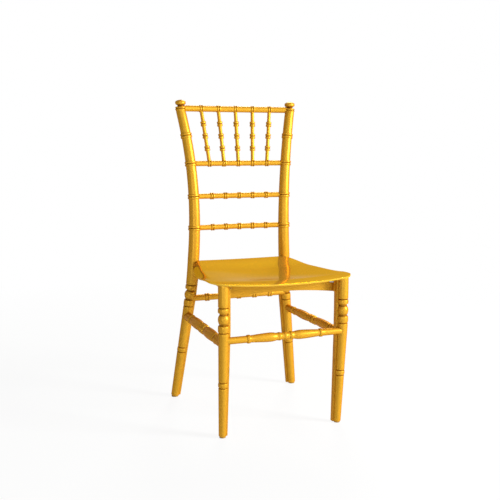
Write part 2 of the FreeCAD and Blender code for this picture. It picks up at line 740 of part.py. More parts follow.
def rail_piece(rail):
    """Rail coped to both posts, with its tenons, and with sockets where it carries spindles."""
    room = rail.post_room()
    body = rail.body().cut([room, mirrored(room)])
    body = body.multiFuse([rail.tenon(), mirrored(rail.tenon())])
    if rail in (TOP_RAIL, SECOND_RAIL):
        sockets = []
        for index in range(RINGS_PER_RAIL):
            sockets.append(spindle_tenon(rail, index, TENON_GAP, SOCKET_END_GAP))
        body = body.cut(sockets)
    return body.removeSplitter()


def post_ring(height):
    root = post_radius(height) - RING_ROOT
    steps = double_ring(POST_RING_WIDTH, root, post_radius(height) + POST_RING_PROUD)
    return turned(POST.point(height), POST.direction(height), steps)


def finial():
    """Neck and flattened ball on top of the post. Heights are from the middle of the ball."""
    half = BALL_HEIGHT / 2
    side_centre = BALL_RADIUS - BALL_SIDE_RADIUS
    crown_radius = (side_centre ** 2 + half ** 2 - BALL_SIDE_RADIUS ** 2) / (2 * (half - BALL_SIDE_RADIUS))
    crown_centre = half - crown_radius
    crown_angle = math.atan2(side_centre, -crown_centre)
    neck_drop = math.sqrt(BALL_SIDE_RADIUS ** 2 - (NECK_RADIUS - side_centre) ** 2)

    def crown(angle):
        return crown_centre + crown_radius * math.cos(angle), crown_radius * math.sin(angle)

    steps = [
        (COLLAR_HEIGHT - CHAIR_HEIGHT + half, NECK_RADIUS),
        (-neck_drop, NECK_RADIUS),
        crown(crown_angle) + (0, BALL_RADIUS),
        (half, 0) + crown(crown_angle / 2),
    ]
    post_end = POST.point(COLLAR_HEIGHT)
    return turned(V(post_end.x, post_end.y, CHAIR_HEIGHT - half), UP, steps)


def post_collar():
    """Double ring under the finial, level with the top rail."""
    steps = double_ring(COLLAR_WIDTH, post_radius(COLLAR_HEIGHT), COLLAR_RADIUS)
    return turned(POST.point(COLLAR_HEIGHT), UP, steps)


def side_stretcher_ends():
    """Where the axis of the outer bar of a side stretcher passes the front leg and the rear leg."""
    outward = V(SIDE_STRETCHER_OUT, 0, 0)
    return FRONT.point(SIDE_STRETCHER_HEIGHT) + outward, POST.point(SIDE_STRETCHER_HEIGHT) + outward


def side_stretcher_tenons(gap=0.0, end_gap=0.0):
    """Tenons of the side stretcher, midway between its two bars."""
    front, rear = side_stretcher_ends()
    to_middle = V(-TWIN_IN / 2, 0, TWIN_UP / 2)
    along = (rear - front).normalize()
    front += to_middle
    rear += to_middle
    root = along * STRETCHER_TENON_ROOT
    tip = along * (SIDE_TENON_TIP - end_gap)
    radius = STRETCHER_TENON_RADIUS + gap
    return rod(front + root, front + tip, radius), rod(rear - root, rear - tip, radius)


def leg_room(axis, web, height, radius):
    """A leg near a height, with a gap, as the end of a bar sees it."""
    low = height - COPE_REACH
    high = height + COPE_REACH
    round_part = rod(axis.point(low), axis.point(high), radius + BEAD_PROUD + SHOULDER_GAP)
    return round_part.fuse(web([low, height, high], SHOULDER_GAP))


def side_stretcher():
    """Two like turned bars moulded side by side, the inner one higher."""
    front, rear = side_stretcher_ends()
    along = (rear - front).normalize()
    length = (rear - front).Length
    middle = (front + rear) * 0.5 - along * SIDE_PATTERN_FORWARD
    plain = SIDE_STRETCHER_RADIUS
    half_steps = [
        (0, plain + 1.7),
        (6.0, plain + 0.9),
        (7.2, plain - 0.8),
        (8.6, plain + 1.5),
        (17.4, plain + 1.5),
        (20.0, plain - 0.6),
        (24.0, plain + 0.9),
        (113.0, plain + 0.9, 68.0, plain + 1.7),
        (117.0, plain - 0.2),
        (125.8, plain - 1.0),
        (127.2, plain + 1.2),
        (136.0, plain + 1.2),
        (137.5, plain),
        (length / 2 + SIDE_PATTERN_FORWARD, plain),
    ]
    bars = []
    for shift in (V(0, 0, 0), V(-TWIN_IN, 0, TWIN_UP)):
        bars.append(turned(middle + shift, along, both_ways(half_steps)))
    body = bars[0].fuse(bars[1])
    front_room = leg_room(FRONT, front_web, SIDE_STRETCHER_HEIGHT, front_radius(SIDE_STRETCHER_HEIGHT))
    rear_room = leg_room(POST, rear_web, SIDE_STRETCHER_HEIGHT, post_radius(SIDE_STRETCHER_HEIGHT))
    body = body.cut([front_room, rear_room, beyond(front, BACKWARD * -1), beyond(rear, BACKWARD)])
    return body.multiFuse(list(side_stretcher_tenons())).removeSplitter()


def cross_tenon(axis, height, forward, gap=0.0, end_gap=0.0):
    """Right-hand tenon of a stretcher that runs across the chair."""
    place = axis.point(height) - BACKWARD * forward
    root = place - ACROSS * STRETCHER_TENON_ROOT
    tip = place - ACROSS * (FRONT_TENON_TIP - end_gap)
    return rod(root, tip, STRETCHER_TENON_RADIUS + gap)


def cross_stretcher(axis, web, radius, height, forward, half_steps):
    """Turned bar across the chair between two legs, coped to them."""
    place = axis.point(height)
    steps = both_ways(half_steps + [(place.x, half_steps[-1][1])])
    body = turned(V(0, place.y - forward, height), ACROSS, steps)
    room = leg_room(axis, web, height, radius)
    outside = beyond(place - ACROSS * OVERLAP, ACROSS)
    tenon = cross_tenon(axis, height, forward)
    body = body.cut([room, mirrored(room), outside, mirrored(outside)])
    return body.multiFuse([tenon, mirrored(tenon)]).removeSplitter()


def front_stretcher():
    plain = FRONT_STRETCHER_RADIUS
    half_steps = [
        (0, plain + 2.0),
        (5.0, plain + 0.4, 3.2, plain + 1.5),
        (12.6, plain + 0.2),
        (13.6, plain + 1.8),
        (20.4, plain + 1.8),
        (21.6, plain + 0.8),
        (27.0, plain + 0.9),
        (45.0, plain + 3.1, 36.0, plain + 2.6),
        (100.0, plain, 68.0, plain + 2.2),
        (101.5, plain + 2.2),
        (109.5, plain + 2.2),
        (111.0, plain),
    ]
    height = FRONT_STRETCHER_HEIGHT
    radius = front_radius(height)
    return cross_stretcher(FRONT, front_web, radius, height, FRONT_STRETCHER_FORWARD, half_steps)


def back_stretcher():
    plain = BACK_STRETCHER_RADIUS
    crest = BACK_STRETCHER_RING_RADIUS
    ring = double_ring(BACK_STRETCHER_RING_WIDTH, plain, crest)
    half_steps = [step for step in ring if step[0] >= 0]
    for count in (1, 2):
        for height, radius in ring:
            half_steps.append((height + count * BACK_STRETCHER_RING_SPACING, radius))
    radius = post_radius(TURNING_BOTTOM + TURNING_HEIGHT)
    return cross_stretcher(POST, rear_web, radius, BACK_STRETCHER_HEIGHT, BACK_STRETCHER_FORWARD, half_steps)


class Corner:
    """Inner corner of the apron frame on the right. It holds a block that bolts to the leg or lug behind it.

    The corner is where the inner faces of the two aprons meet. Inside it, one way runs along the cross
    apron towards the middle of the chair and the other along the side apron.
    """

    def __init__(self, y, far_y, bolt_aim, insert_start):
        self.apex = V(side_apron_inner_x(y), y, 0)
        self.along_cross = V(-1, 0, 0)
        self.along_side = (V(side_apron_inner_x(far_y), far_y, 0) - self.apex).normalize()
        self.out = (self.along_cross + self.along_side).normalize() * -1
        self.bolt_aim = bolt_aim
        self.insert_start = insert_start

    def at(self, cross, side, height):
        return self.apex + self.along_cross * cross + self.along_side * side + UP * height

    def bolt_seat(self):
        """Point where the bolt's flange sits on the long face of the block."""
        aim = V(self.bolt_aim.x, self.bolt_aim.y, BOLT_HEIGHT)
        on_face = self.at(BLOCK_REACH, BLOCK_END, BOLT_HEIGHT)
        return aim + self.out * (on_face - aim).dot(self.out)

    def insert_base(self):
        return self.bolt_seat() + self.out * self.insert_start

    def bolt_end(self):
        return self.insert_base() + self.out * BOLT_IN_INSERT

    def bolt(self):
        seat = self.bolt_seat()
        shank = rod(seat, self.bolt_end(), BOLT_RADIUS)
        flange = rod(seat - self.out * FLANGE_THICKNESS, seat, FLANGE_RADIUS)
        head_top = seat - self.out * (FLANGE_THICKNESS + BOLT_HEAD_LENGTH)
        head = rod(head_top, seat, BOLT_HEAD_RADIUS)
        hexagon = []
        for index in range(6):
            angle = math.radians(60 * index)
            hexagon.append(V(KEY_RADIUS * math.cos(angle), KEY_RADIUS * math.sin(angle), 0))
        key = prism(hexagon, UP * KEY_DEPTH)
        return shank.multiFuse([flange, head]).cut(placed(key, head_top, self.out)).removeSplitter()

    def bolt_hole(self):
        return rod(self.bolt_seat(), self.bolt_end() + self.out * BOLT_PAST_END, BOLT_RADIUS + BOLT_GAP)

    def insert(self):
        base = self.insert_base()
        end = base + self.out * INSERT_LENGTH
        bore = rod(base - self.out * OVERLAP, end + self.out * OVERLAP, BOLT_RADIUS + SCREW_GAP)
        return rod(base, end, INSERT_RADIUS).cut(bore)

    def insert_socket(self):
        base = self.insert_base()
        return rod(base, base + self.out * INSERT_LENGTH, INSERT_RADIUS + TENON_GAP)

    def block_screw_lines(self):
        """Head seat and tip of the screws into the cross apron and the side apron."""
        along = BLOCK_SCREW_ALONG
        into_cross = (self.at(along, SCREW_SEAT, BOLT_HEIGHT), self.at(along, -SCREW_BITE, BOLT_HEIGHT))
        into_side = (self.at(SCREW_SEAT, along, BOLT_HEIGHT), self.at(-SCREW_BITE, along, BOLT_HEIGHT))
        return [into_cross, into_side]

    def seat_screw_line(self):
        seat = self.at(SEAT_SCREW_IN, SEAT_SCREW_ALONG, BLOCK_TOP - SCREW_SEAT)
        return seat, seat + UP * (SCREW_SEAT + SCREW_BITE)

    def block(self):
        points = [
            self.at(0, 0, BLOCK_BOTTOM),
            self.at(BLOCK_REACH, 0, BLOCK_BOTTOM),
            self.at(BLOCK_REACH, BLOCK_END, BLOCK_BOTTOM),
            self.at(BLOCK_END, BLOCK_REACH, BLOCK_BOTTOM),
            self.at(0, BLOCK_REACH, BLOCK_BOTTOM),
        ]
        solid = prism(points, UP * BLOCK_THICKNESS)
        cuts = [self.bolt_hole()]
        for seat, tip in self.block_screw_lines() + [self.seat_screw_line()]:
            cuts += screw_room(seat, tip)
        return solid.cut(cuts)

    def boss(self):
        """Boss under the seat that the seat screw bites into, up to the underside."""
        seat = self.at(SEAT_SCREW_IN, SEAT_SCREW_ALONG, BLOCK_TOP)
        top = seat_height(seat.x, seat.y) - SEAT_THICKNESS / 2
        return Part.makeCylinder(BOSS_RADIUS, top - BLOCK_TOP, seat)


def screw(seat, tip):
    """Plain screw with a flat round head that sits at one point and ends at the other."""
    direction = (tip - seat).normalize()
    head = rod(seat - direction * SCREW_HEAD_LENGTH, seat, SCREW_HEAD_RADIUS)
    return head.fuse(rod(seat, tip, SCREW_RADIUS))


def screw_room(seat, tip):
    """Hole and counterbore for a screw."""
    direction = (tip - seat).normalize()
    shank = rod(seat, tip + direction * SOCKET_END_GAP, SCREW_RADIUS + SCREW_GAP)
    counterbore = rod(seat - direction * COUNTERBORE_DEPTH, seat, SCREW_HEAD_RADIUS + SHOULDER_GAP)
    return [shank, counterbore]


def corners():
    """Front and rear corners of the apron frame on the right."""
    front_y = FRONT_APRON_Y + APRON_THICKNESS
    rear_aim = V(side_apron_inner_x(LUG_FRONT_Y) - REAR_BOLT_IN, LUG_FRONT_Y, 0)
    return (
        Corner(front_y, LUG_FRONT_Y, FRONT.point(BOLT_HEIGHT), FRONT_INSERT_START),
        Corner(LUG_FRONT_Y, front_y, rear_aim, REAR_INSERT_START),
    )


def both_sides(shape):
    return [shape, mirrored(shape)]


def back_post(above, rear_corner):
    """Right-hand back post with its lug, rings, sockets and finial."""
    top = COLLAR_HEIGHT - COLLAR_WIDTH / 2 + OVERLAP
    parts = leg_lower_part(POST, post_radius, REAR_LOW_RING)
    parts.append(column(upper_sections(POST, post_radius, top, 9)))
    parts.append(rear_web([0, REAR_LOW_RING] + evenly(WEB_FULL_HEIGHT, REAR_WEB_TOP, 4)))
    parts.append(post_lug(above))
    parts.append(post_collar())
    parts.append(finial())
    for rail in BACK_RAILS[1:]:
        parts.append(post_ring(rail.height))
    parts.append(post_ring(FREE_RING_HEIGHT))
    body = parts[0].multiFuse(parts[1:])
    cuts = [below(GLIDE_THICKNESS), glide_socket(POST)]
    for rail in BACK_RAILS:
        cuts.append(rail.tenon(TENON_GAP, SOCKET_END_GAP))
    cuts.append(side_stretcher_tenons(TENON_GAP, SOCKET_END_GAP)[1])
    back_height = BACK_STRETCHER_HEIGHT
    cuts.append(cross_tenon(POST, back_height, BACK_STRETCHER_FORWARD, TENON_GAP, SOCKET_END_GAP))
    cuts += [rear_corner.bolt_hole(), rear_corner.insert_socket()]
    return body.cut(cuts)


def front_leg(above, front_corner):
    """Right-hand front leg with its sockets."""
    top = SEAT_RIM_HEIGHT
    parts = leg_lower_part(FRONT, front_radius, FRONT_LOW_RING)
    parts.append(column(upper_sections(FRONT, front_radius, top, 1)))
    parts.append(front_web([0, FRONT_LOW_RING, FRONT_BEND_BOTTOM, WEB_FULL_HEIGHT, FRONT_BEND_TOP, top]))
    body = parts[0].multiFuse(parts[1:])
    cuts = [
        above,
        below(GLIDE_THICKNESS),
        glide_socket(FRONT),
        side_stretcher_tenons(TENON_GAP, SOCKET_END_GAP)[0],
        cross_tenon(FRONT, FRONT_STRETCHER_HEIGHT, FRONT_STRETCHER_FORWARD, TENON_GAP, SOCKET_END_GAP),
        front_corner.bolt_hole(),
        front_corner.insert_socket(),
    ]
    return body.cut(cuts).removeSplitter()


def seat_panel(frame_corners):
    """Dished panel cut to its outline, with rounded edges and a boss over each corner block."""
    under_top = seat_surface(seat_height).extrude(UP * -TRIMMER)
    under_panel = seat_surface(seat_under_height).extrude(UP * -TRIMMER)
    stack = Part.Face(seat_outline()).extrude(UP * CHAIR_HEIGHT)
    panel = stack.common(under_top).cut(under_panel).Solids[0]
    top_edges = []
    under_edges = []
    for edge in panel.Edges:
        slopes = []
        for face in panel.ancestorsOfType(edge, Part.Face):
            slopes.append(face.normalAt(*face.Surface.parameter(edge.CenterOfMass)).z)
        if min(abs(slope) for slope in slopes) < 0.1:
            if max(slopes) > 0.1:
                top_edges.append(edge)
            elif min(slopes) < -0.1:
                under_edges.append(edge)
    panel = panel.makeFillet(SEAT_TOP_ROUND, top_edges).makeFillet(SEAT_UNDER_ROUND, under_edges)
    bosses = []
    holes = []
    for corner in frame_corners:
        bosses += both_sides(corner.boss())
        holes += both_sides(screw_room(*corner.seat_screw_line())[0])
    return panel.multiFuse(bosses).cut(holes)


def build():
    """All pieces by node name, still in the frame that has the posts' waist at its place."""
    above = above_carriers()
    front_corner, rear_corner = corners()
    frame_corners = (front_corner, rear_corner)
    pieces = {}

    def add_pair(name, shape):
        pieces["right_" + name] = shape
        pieces["left_" + name] = mirrored(shape)

    add_pair("back_post", back_post(above, rear_corner))
    add_pair("front_leg", front_leg(above, front_corner))
    for rail in BACK_RAILS:
        pieces[rail.name] = rail_piece(rail)
    for index in range(RINGS_PER_RAIL):
        pieces["spindle_%d" % (index + 1)] = spindle(index)
    pieces["seat_panel"] = seat_panel(frame_corners)

    bolt_holes = both_sides(front_corner.bolt_hole())
    screw_holes = []
    for corner in frame_corners:
        for seat, tip in corner.block_screw_lines():
            screw_holes += both_sides(screw_room(seat, tip)[0])
    pieces["front_apron"] = front_apron(above).cut(bolt_holes + screw_holes)
    pieces["rear_apron"] = rear_apron(above).cut(both_sides(rear_corner.bolt_hole()) + screw_holes)
    add_pair("side_apron", side_apron(above).cut(bolt_holes + screw_holes))
    add_pair("front_corner_block", front_corner.block())
    add_pair("rear_corner_block", rear_corner.block())

    pieces["front_stretcher"] = front_stretcher()
    pieces["back_stretcher"] = back_stretcher()
    add_pair("side_stretcher", side_stretcher())
    add_pair("front_glide", foot_glide(FRONT, front_radius))
    add_pair("back_glide", foot_glide(POST, post_radius))

    bolts = []
    inserts = []
    block_screws = []
    seat_screws = []
    for corner in frame_corners:
        bolts += both_sides(corner.bolt())
        inserts += both_sides(corner.insert())
        seat_screws += both_sides(screw(*corner.seat_screw_line()))
        for seat, tip in corner.block_screw_lines():
            block_screws += both_sides(screw(seat, tip))
    pieces["corner_bolts"] = Part.makeCompound(bolts)
    pieces["corner_inserts"] = Part.makeCompound(inserts)
    pieces["block_screws"] = Part.makeCompound(block_screws)
    pieces["seat_screws"] = Part.makeCompound(seat_screws)
    return pieces


def chair_middle(pieces):
    """Middle of the chair along Y, from its front edge to its rearmost foot."""
    boxes = [shape.optimalBoundingBox(False, False) for shape in pieces.values()]
    front = min(box.YMin for box in boxes)
    rear = max(box.YMax for box in boxes)
    return (front + rear) / 2


def main():
    pieces = build()
    shift = V(0, -chair_middle(pieces), 0)
    os.makedirs("parts", exist_ok=True)
    for name, shape in pieces.items():
        shape.translate(shift)
        shape.exportStep("parts/%s.step" % name)
        box = shape.BoundBox
        state = "solids %d valid %s volume %.1f" % (len(shape.Solids), shape.isValid(), shape.Volume / 1000)
        reach = "box %.1f %.1f %.1f to %.1f %.1f %.1f" % (
            box.XMin, box.YMin, box.ZMin, box.XMax, box.YMax, box.ZMax)
        print("%-26s %s %s" % (name, state, reach))
    for name, axis in (("front foot", FRONT), ("rear foot", POST)):
        place = axis.point(0) + shift
        print("%s middle at %.2f %.2f" % (name, place.x, place.y))


main()
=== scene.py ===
# %% [markdown]
# # A gold resin chiavari chair
# A chiavari chair is a light stacking chair for weddings and banquets. This one is moulded in gold pearl
# resin, in the shapes of the turned wooden chair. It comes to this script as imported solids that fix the
# sizes and places, and here each piece that shows gets its smooth turned surface and its finish. The dish
# of the seat, the finials' balls and the side stretchers' necks are fuller here than in the solids, and the
# rib behind each front leg is here only. The square corner of a back post lies behind its axis here and in
# front of it in the solid.

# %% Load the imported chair
import bpy
import bmesh
import math
from mathutils import Matrix, Vector


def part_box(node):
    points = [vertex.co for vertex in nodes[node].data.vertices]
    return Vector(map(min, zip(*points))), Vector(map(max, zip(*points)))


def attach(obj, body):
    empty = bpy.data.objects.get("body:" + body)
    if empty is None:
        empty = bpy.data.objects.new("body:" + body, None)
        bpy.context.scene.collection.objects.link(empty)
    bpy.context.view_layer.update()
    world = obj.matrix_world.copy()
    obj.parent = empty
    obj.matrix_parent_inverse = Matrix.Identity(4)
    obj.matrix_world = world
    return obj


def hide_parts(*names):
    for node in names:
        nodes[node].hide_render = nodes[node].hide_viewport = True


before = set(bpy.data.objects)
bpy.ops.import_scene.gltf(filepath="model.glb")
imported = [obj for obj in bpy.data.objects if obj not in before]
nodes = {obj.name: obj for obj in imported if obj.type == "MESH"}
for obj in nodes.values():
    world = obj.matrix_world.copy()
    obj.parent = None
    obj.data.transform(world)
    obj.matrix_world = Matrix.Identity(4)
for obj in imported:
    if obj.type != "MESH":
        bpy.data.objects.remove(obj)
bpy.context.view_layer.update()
print("nodes to dress:", len(nodes))

# %% [markdown]
# ## Camera
# The photograph looks at the chair from its front left, from a little above the seat. Direction, distance
# and lens were worked out from where the feet, the seat's corners and the finials are in it.

# %% Camera at the photograph's angle
CAMERA_PLACE = Vector((-0.8125, -2.0801, 0.7790))
CAMERA_AZIMUTH = math.radians(-20.64)
CAMERA_PITCH = math.radians(7.63)
FOCAL_PIXELS = 779.8    # focal length in pixels of the photograph
IMAGE_PIXELS = 500
SENSOR_MM = 36.0


def in_scene(name, data):
    made = bpy.data.objects.new(name, data)
    bpy.context.scene.collection.objects.link(made)
    return made


def aimed_camera():
    data = bpy.data.cameras.new("photo_camera")
    data.sensor_width = SENSOR_MM
    data.lens = FOCAL_PIXELS / IMAGE_PIXELS * SENSOR_MM
    camera = in_scene("photo_camera", data)
    back = Vector((
        math.sin(CAMERA_AZIMUTH) * math.cos(CAMERA_PITCH),
        -math.cos(CAMERA_AZIMUTH) * math.cos(CAMERA_PITCH),
        math.sin(CAMERA_PITCH),
    ))
    right = Vector((math.cos(CAMERA_AZIMUTH), math.sin(CAMERA_AZIMUTH), 0))
    turn = Matrix((right, back.cross(right), back)).transposed().to_4x4()
    camera.matrix_world = Matrix.Translation(CAMERA_PLACE) @ turn
    bpy.context.scene.camera = camera
    return camera


camera = aimed_camera()
print("lens in mm:", round(camera.data.lens, 1))

# %% [markdown]
# ## Colours and shader nodes
# Colours are written as hex values, as on a paint chart, and one function turns them to linear light.
# Another adds a shader node with its settings and links in one call, so that a material reads as a list of
# what it is made of. Every finish here varies over a noise, in colour and in roughness.

# %% Helpers for materials
TONE_ENDS = (0.35, 0.65)        # most of a noise lies between these values


def linear(hex_colour):
    values = []
    for start in (1, 3, 5):
        value = int(hex_colour[start:start + 2], 16) / 255
        values.append(value / 12.92 if value <= 0.04045 else ((value + 0.055) / 1.055) ** 2.4)
    return (*values, 1.0)


def add_node(tree, kind, settings=None, links=None):
    """A node of a kind. A setting is a property or an input's value, a link is {input: output socket}."""
    made = tree.nodes.new(kind)
    for key, value in (settings or {}).items():
        if isinstance(key, str) and hasattr(made, key):
            setattr(made, key, value)
        else:
            made.inputs[key].default_value = value
    for key, output in (links or {}).items():
        tree.links.new(output, made.inputs[key])
    return made


def empty_material(name):
    material = bpy.data.materials.new(name)
    material.use_nodes = True
    material.node_tree.nodes.clear()
    return material, material.node_tree


def per_metre(millimetres):
    """Scale of a noise whose features are that many millimetres apart."""
    return 1000.0 / millimetres


def noise_over(tree, place, spacing, detail):
    settings = {"Scale": per_metre(spacing), "Detail": detail}
    return add_node(tree, "ShaderNodeTexNoise", settings, {"Vector": place}).outputs["Fac"]


def two_tones(tree, colours, noise):
    """A colour that follows a noise from one tone to another."""
    ramp = add_node(tree, "ShaderNodeValToRGB", {}, {"Fac": noise})
    for element, hex_colour, position in zip(ramp.color_ramp.elements, colours, TONE_ENDS):
        element.position = position
        element.color = linear(hex_colour)
    return ramp.outputs["Color"]


def ranged(tree, noise, limits):
    """A value that follows a noise from one limit to another."""
    settings = {"To Min": limits[0], "To Max": limits[1]}
    return add_node(tree, "ShaderNodeMapRange", settings, {"Value": noise}).outputs["Result"]


def add_surface(tree, finish, colour, roughness, bump, height):
    """The shader and the output. Bump is (strength, depth in metres), height the noise that it follows."""
    bump = add_node(tree, "ShaderNodeBump", {"Strength": bump[0], "Distance": bump[1]}, {"Height": height})
    links = {"Base Color": colour, "Roughness": roughness, "Normal": bump.outputs["Normal"]}
    shader = add_node(tree, "ShaderNodeBsdfPrincipled", finish, links)
    add_node(tree, "ShaderNodeOutputMaterial", {}, {"Surface": shader.outputs["BSDF"]})


# %% [markdown]
# ## Gold pearl resin
# The resin is a clear yellow-brown plastic full of fine mica flakes, injection moulded in a polished
# mould. The flakes lie along the surface and shine like a soft gold. At a slant more of the brown resin
# is in the way, so every bar has a darker edge. Metal alone would have a pale edge, and plain plastic would
# lack the glow. So the shader is partly metallic, under a coat that hardly shines and whose gold tint gets
# deeper with the slant. Noise gives the flakes, the flow marks of moulding and a slight orange peel. An
# attribute of the mesh, made further down, paints shade into the grooves by darkening them to brown.

# %% Moulded gold pearl resin
FLAKE_MM = 0.5      # real flakes are under 0.1 mm, too fine to show
FLOW_MM = 70.0
FLOW_SHADE = (0.95, 1.05)
PEEL_MM = 6.0
PEEL_BUMP = (0.05, 0.0001)
# painted shade: the dark brown that the grooves are darkened towards
GROOVE_SHADE_COLOUR = "#7A4A10"


def pearl_resin(name, colours, roughness, finish):
    """Pearl resin from two flake colours. Finish is what is the same all over."""
    material, tree = empty_material(name)
    place = add_node(tree, "ShaderNodeTexCoord").outputs["Object"]
    flakes = noise_over(tree, place, FLAKE_MM, 2.0)
    flow = noise_over(tree, place, FLOW_MM, 3.0)
    peel = noise_over(tree, place, PEEL_MM, 1.0)
    colour = add_node(tree, "ShaderNodeVectorMath", {"operation": "SCALE"},
                      {0: two_tones(tree, colours, flakes), "Scale": ranged(tree, flow, FLOW_SHADE)})
    # Painted shade in the grooves: the deeper a point lies in a groove, the nearer its colour is to the dark
    # brown.
    groove_shade = add_node(tree, "ShaderNodeAttribute", {"attribute_name": "groove_shade"}).outputs["Fac"]
    # Inputs 6 and 7 of this node are its two colours, and output 2 is the mixed one.
    colour = add_node(tree, "ShaderNodeMix", {"data_type": "RGBA", 7: linear(GROOVE_SHADE_COLOUR)},
                      {0: groove_shade, 6: colour.outputs["Vector"]})
    add_surface(tree, finish, colour.outputs[2], ranged(tree, flakes, roughness), PEEL_BUMP, peel)
    return material


RESIN = pearl_resin("moulded_gold_pearl_resin", ("#D9B248", "#DDB64C"), (0.33, 0.35), {
    "Metallic": 0.28,
    "Specular IOR Level": 0.35,
    "Specular Tint": linear("#F0DCA0"),
    "Coat Weight": 1.0,
    "Coat IOR": 1.05,
    "Coat Roughness": 0.35,
    "Coat Tint": linear("#EED9A4"),
})
print("resin nodes:", len(RESIN.node_tree.nodes))

# %% [markdown]
# ## Polished seat
# The seat is the same resin, from the part of the mould that is polished like a mirror: the posts and the
# lowest rail reflect in it. It is seen at a low slant, so its shine has to stay gold there, which a gold
# specular tint on a half metallic shader does. It is much smoother than the bars.

# %% Polished gold pearl resin of the seat
POLISHED = pearl_resin("polished_gold_pearl_resin", ("#E2B33A", "#E6B73E"), (0.06, 0.08), {
    "Metallic": 0.55,
    "Specular IOR Level": 0.0,
    "Specular Tint": linear("#DCB060"),
})
print("seat nodes:", len(POLISHED.node_tree.nodes))

# %% [markdown]
# ## The chair's main sizes
# The pieces are modelled in millimetres, in the maker's own frame: X from the middle of the chair to the
# right, Y from the front to the back, Z up from the floor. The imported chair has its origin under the
# middle of its outline, so its front edge says how far the maker's frame has to shift.

# %% Main sizes in millimetres
MM = 0.001
CHAIR_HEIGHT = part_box("right_back_post")[1].z / MM
SEAT_FRONT_Y = -262.0
SEAT_RIM = 427.7
WAIST_HEIGHT = SEAT_RIM + 132.3         # where a back post is upright
WEB_FULL = SEAT_RIM - 127.7     # from here up the square corners of the legs are at their widest
TO_CHAIR_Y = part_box("seat_panel")[0].y / MM - SEAT_FRONT_Y
FLOOR_GAP = 3.0         # the foot glides are that thick
print("height:", round(CHAIR_HEIGHT, 1), "shift along Y:", round(TO_CHAIR_Y, 2))


# %% [markdown]
# ## The bent axes of posts and legs
# A back post is one bent bar. It stands upright at its waist, just over the seat. It bends away backwards
# and outwards to the finial, and below the seat it bends the same way to the foot. A front leg is upright
# under the seat and bends a little lower down. Every bend is an arc, and below the lower ones the legs run
# on straight, so one small class gives the axis at any height.

# %% Bent axis of a leg
class BentAxis:
    """Axis that is bent towards a heading, in degrees from sideways to the back."""

    def __init__(self, x, y, heading, bend_top, bend_bottom, radius, upper_radius=None):
        self.foot = Vector((x, y, 0))
        self.way = Vector((math.cos(math.radians(heading)), math.sin(math.radians(heading)), 0))
        self.bend_top = bend_top
        self.bend_bottom = bend_bottom
        self.radius = radius
        self.upper_radius = upper_radius

    def offset(self, height):
        if height > self.bend_top:
            if self.upper_radius is None:
                return 0.0
            return self.upper_radius - math.sqrt(self.upper_radius ** 2 - (height - self.bend_top) ** 2)
        depth = self.bend_top - max(height, self.bend_bottom)
        run = math.sqrt(self.radius ** 2 - depth ** 2)
        return self.radius - run + max(self.bend_bottom - height, 0.0) * depth / run

    def point(self, height):
        return self.foot + self.way * self.offset(height) + Vector((0, 0, height))

    def direction(self, height):
        return (self.point(height + 0.5) - self.point(height - 0.5)).normalized()


POST = BentAxis(x=145.2, y=130.1, heading=44.0, bend_top=WAIST_HEIGHT, bend_bottom=SEAT_RIM - 119.7,
                radius=1475.0, upper_radius=1227.0)
FRONT = BentAxis(x=174.1, y=-224.0, heading=97.0, bend_top=SEAT_RIM - 97.7, bend_bottom=SEAT_RIM - 167.7,
                 radius=963.0)
print("rear foot at", [round(value, 1) for value in POST.point(0)])
print("front foot at", [round(value, 1) for value in FRONT.point(0)])


# %% [markdown]
# ## The lathe
# Nearly every piece of this chair is turned, so most of the modelling is one helper: a profile of a few
# corners goes round an axis. `bmesh.ops.spin` does what a lathe does. Where the profile is round, a step
# names a point halfway, and a few points in between follow the curve. Long plain stretches are divided so
# that the piece can be bent. The sharp rings of the turned shape get a small bevel, because a mould leaves
# no sharp edge. Last, each point notes how deep it lies in a groove, for the painted shade that darkens the
# grooves.

# %% Turn a profile into a piece
TURNED_SIDES = 56
CURVE_POINTS = 7
PLAIN_STRETCH = 9.0
EDGE_ROUND = 0.35
SHARP_TURN = math.radians(24)
HOLLOW_REACH = range(1, 7)      # how far above and below higher points may be, in mm
# painted shade: a groove this deep is darkened fully to the groove brown
FULL_SHADE_DEPTH = 2.6              # a groove this deep is fully brown
NEAR = 0.001                    # points this close are one point
SIDEWAYS = 0.9                  # a line that runs this much along X needs another side to start from


def profile_points(steps):
    """Points of a profile. A step is (height, radius) or (height, radius, mid height, mid radius)."""
    points = [Vector(steps[0][:2])]
    for step in steps[1:]:
        start = points[-1]
        end = Vector(step[:2])
        if len(step) == 4:
            middle = Vector(step[2:])
            for index in range(1, CURVE_POINTS + 1):
                t = index / (CURVE_POINTS + 1)
                from_start = start * (1 - t) * (1 - 2 * t)
                points.append(from_start + middle * 4 * t * (1 - t) + end * t * (2 * t - 1))
        points.append(end)
    return points


def soft_edges(shape, edges, offset, segments=2, clamp=False):
    bmesh.ops.bevel(shape, geom=edges, offset=offset, segments=segments, profile=0.5, affect="EDGES",
                    material=-1, clamp_overlap=clamp)


def mark_groove_shade(shape, plain_above):
    """Note at each point how deep it lies between higher points on both sides, for the material's painted
    shade in the grooves.
    """
    layer = shape.verts.layers.float.new("groove_shade")
    crests = {}
    for vert in shape.verts:
        level = round(vert.co.z)
        crests[level] = max(crests.get(level, 0.0), vert.co.xy.length)
    for vert in shape.verts:
        if vert.co.z < plain_above:
            level = round(vert.co.z)
            above = max(crests.get(level + step, 0.0) for step in HOLLOW_REACH)
            below = max(crests.get(level - step, 0.0) for step in HOLLOW_REACH)
            depth = min(above, below) - vert.co.xy.length
            vert[layer] = min(max(depth / FULL_SHADE_DEPTH, 0.0), 1.0)


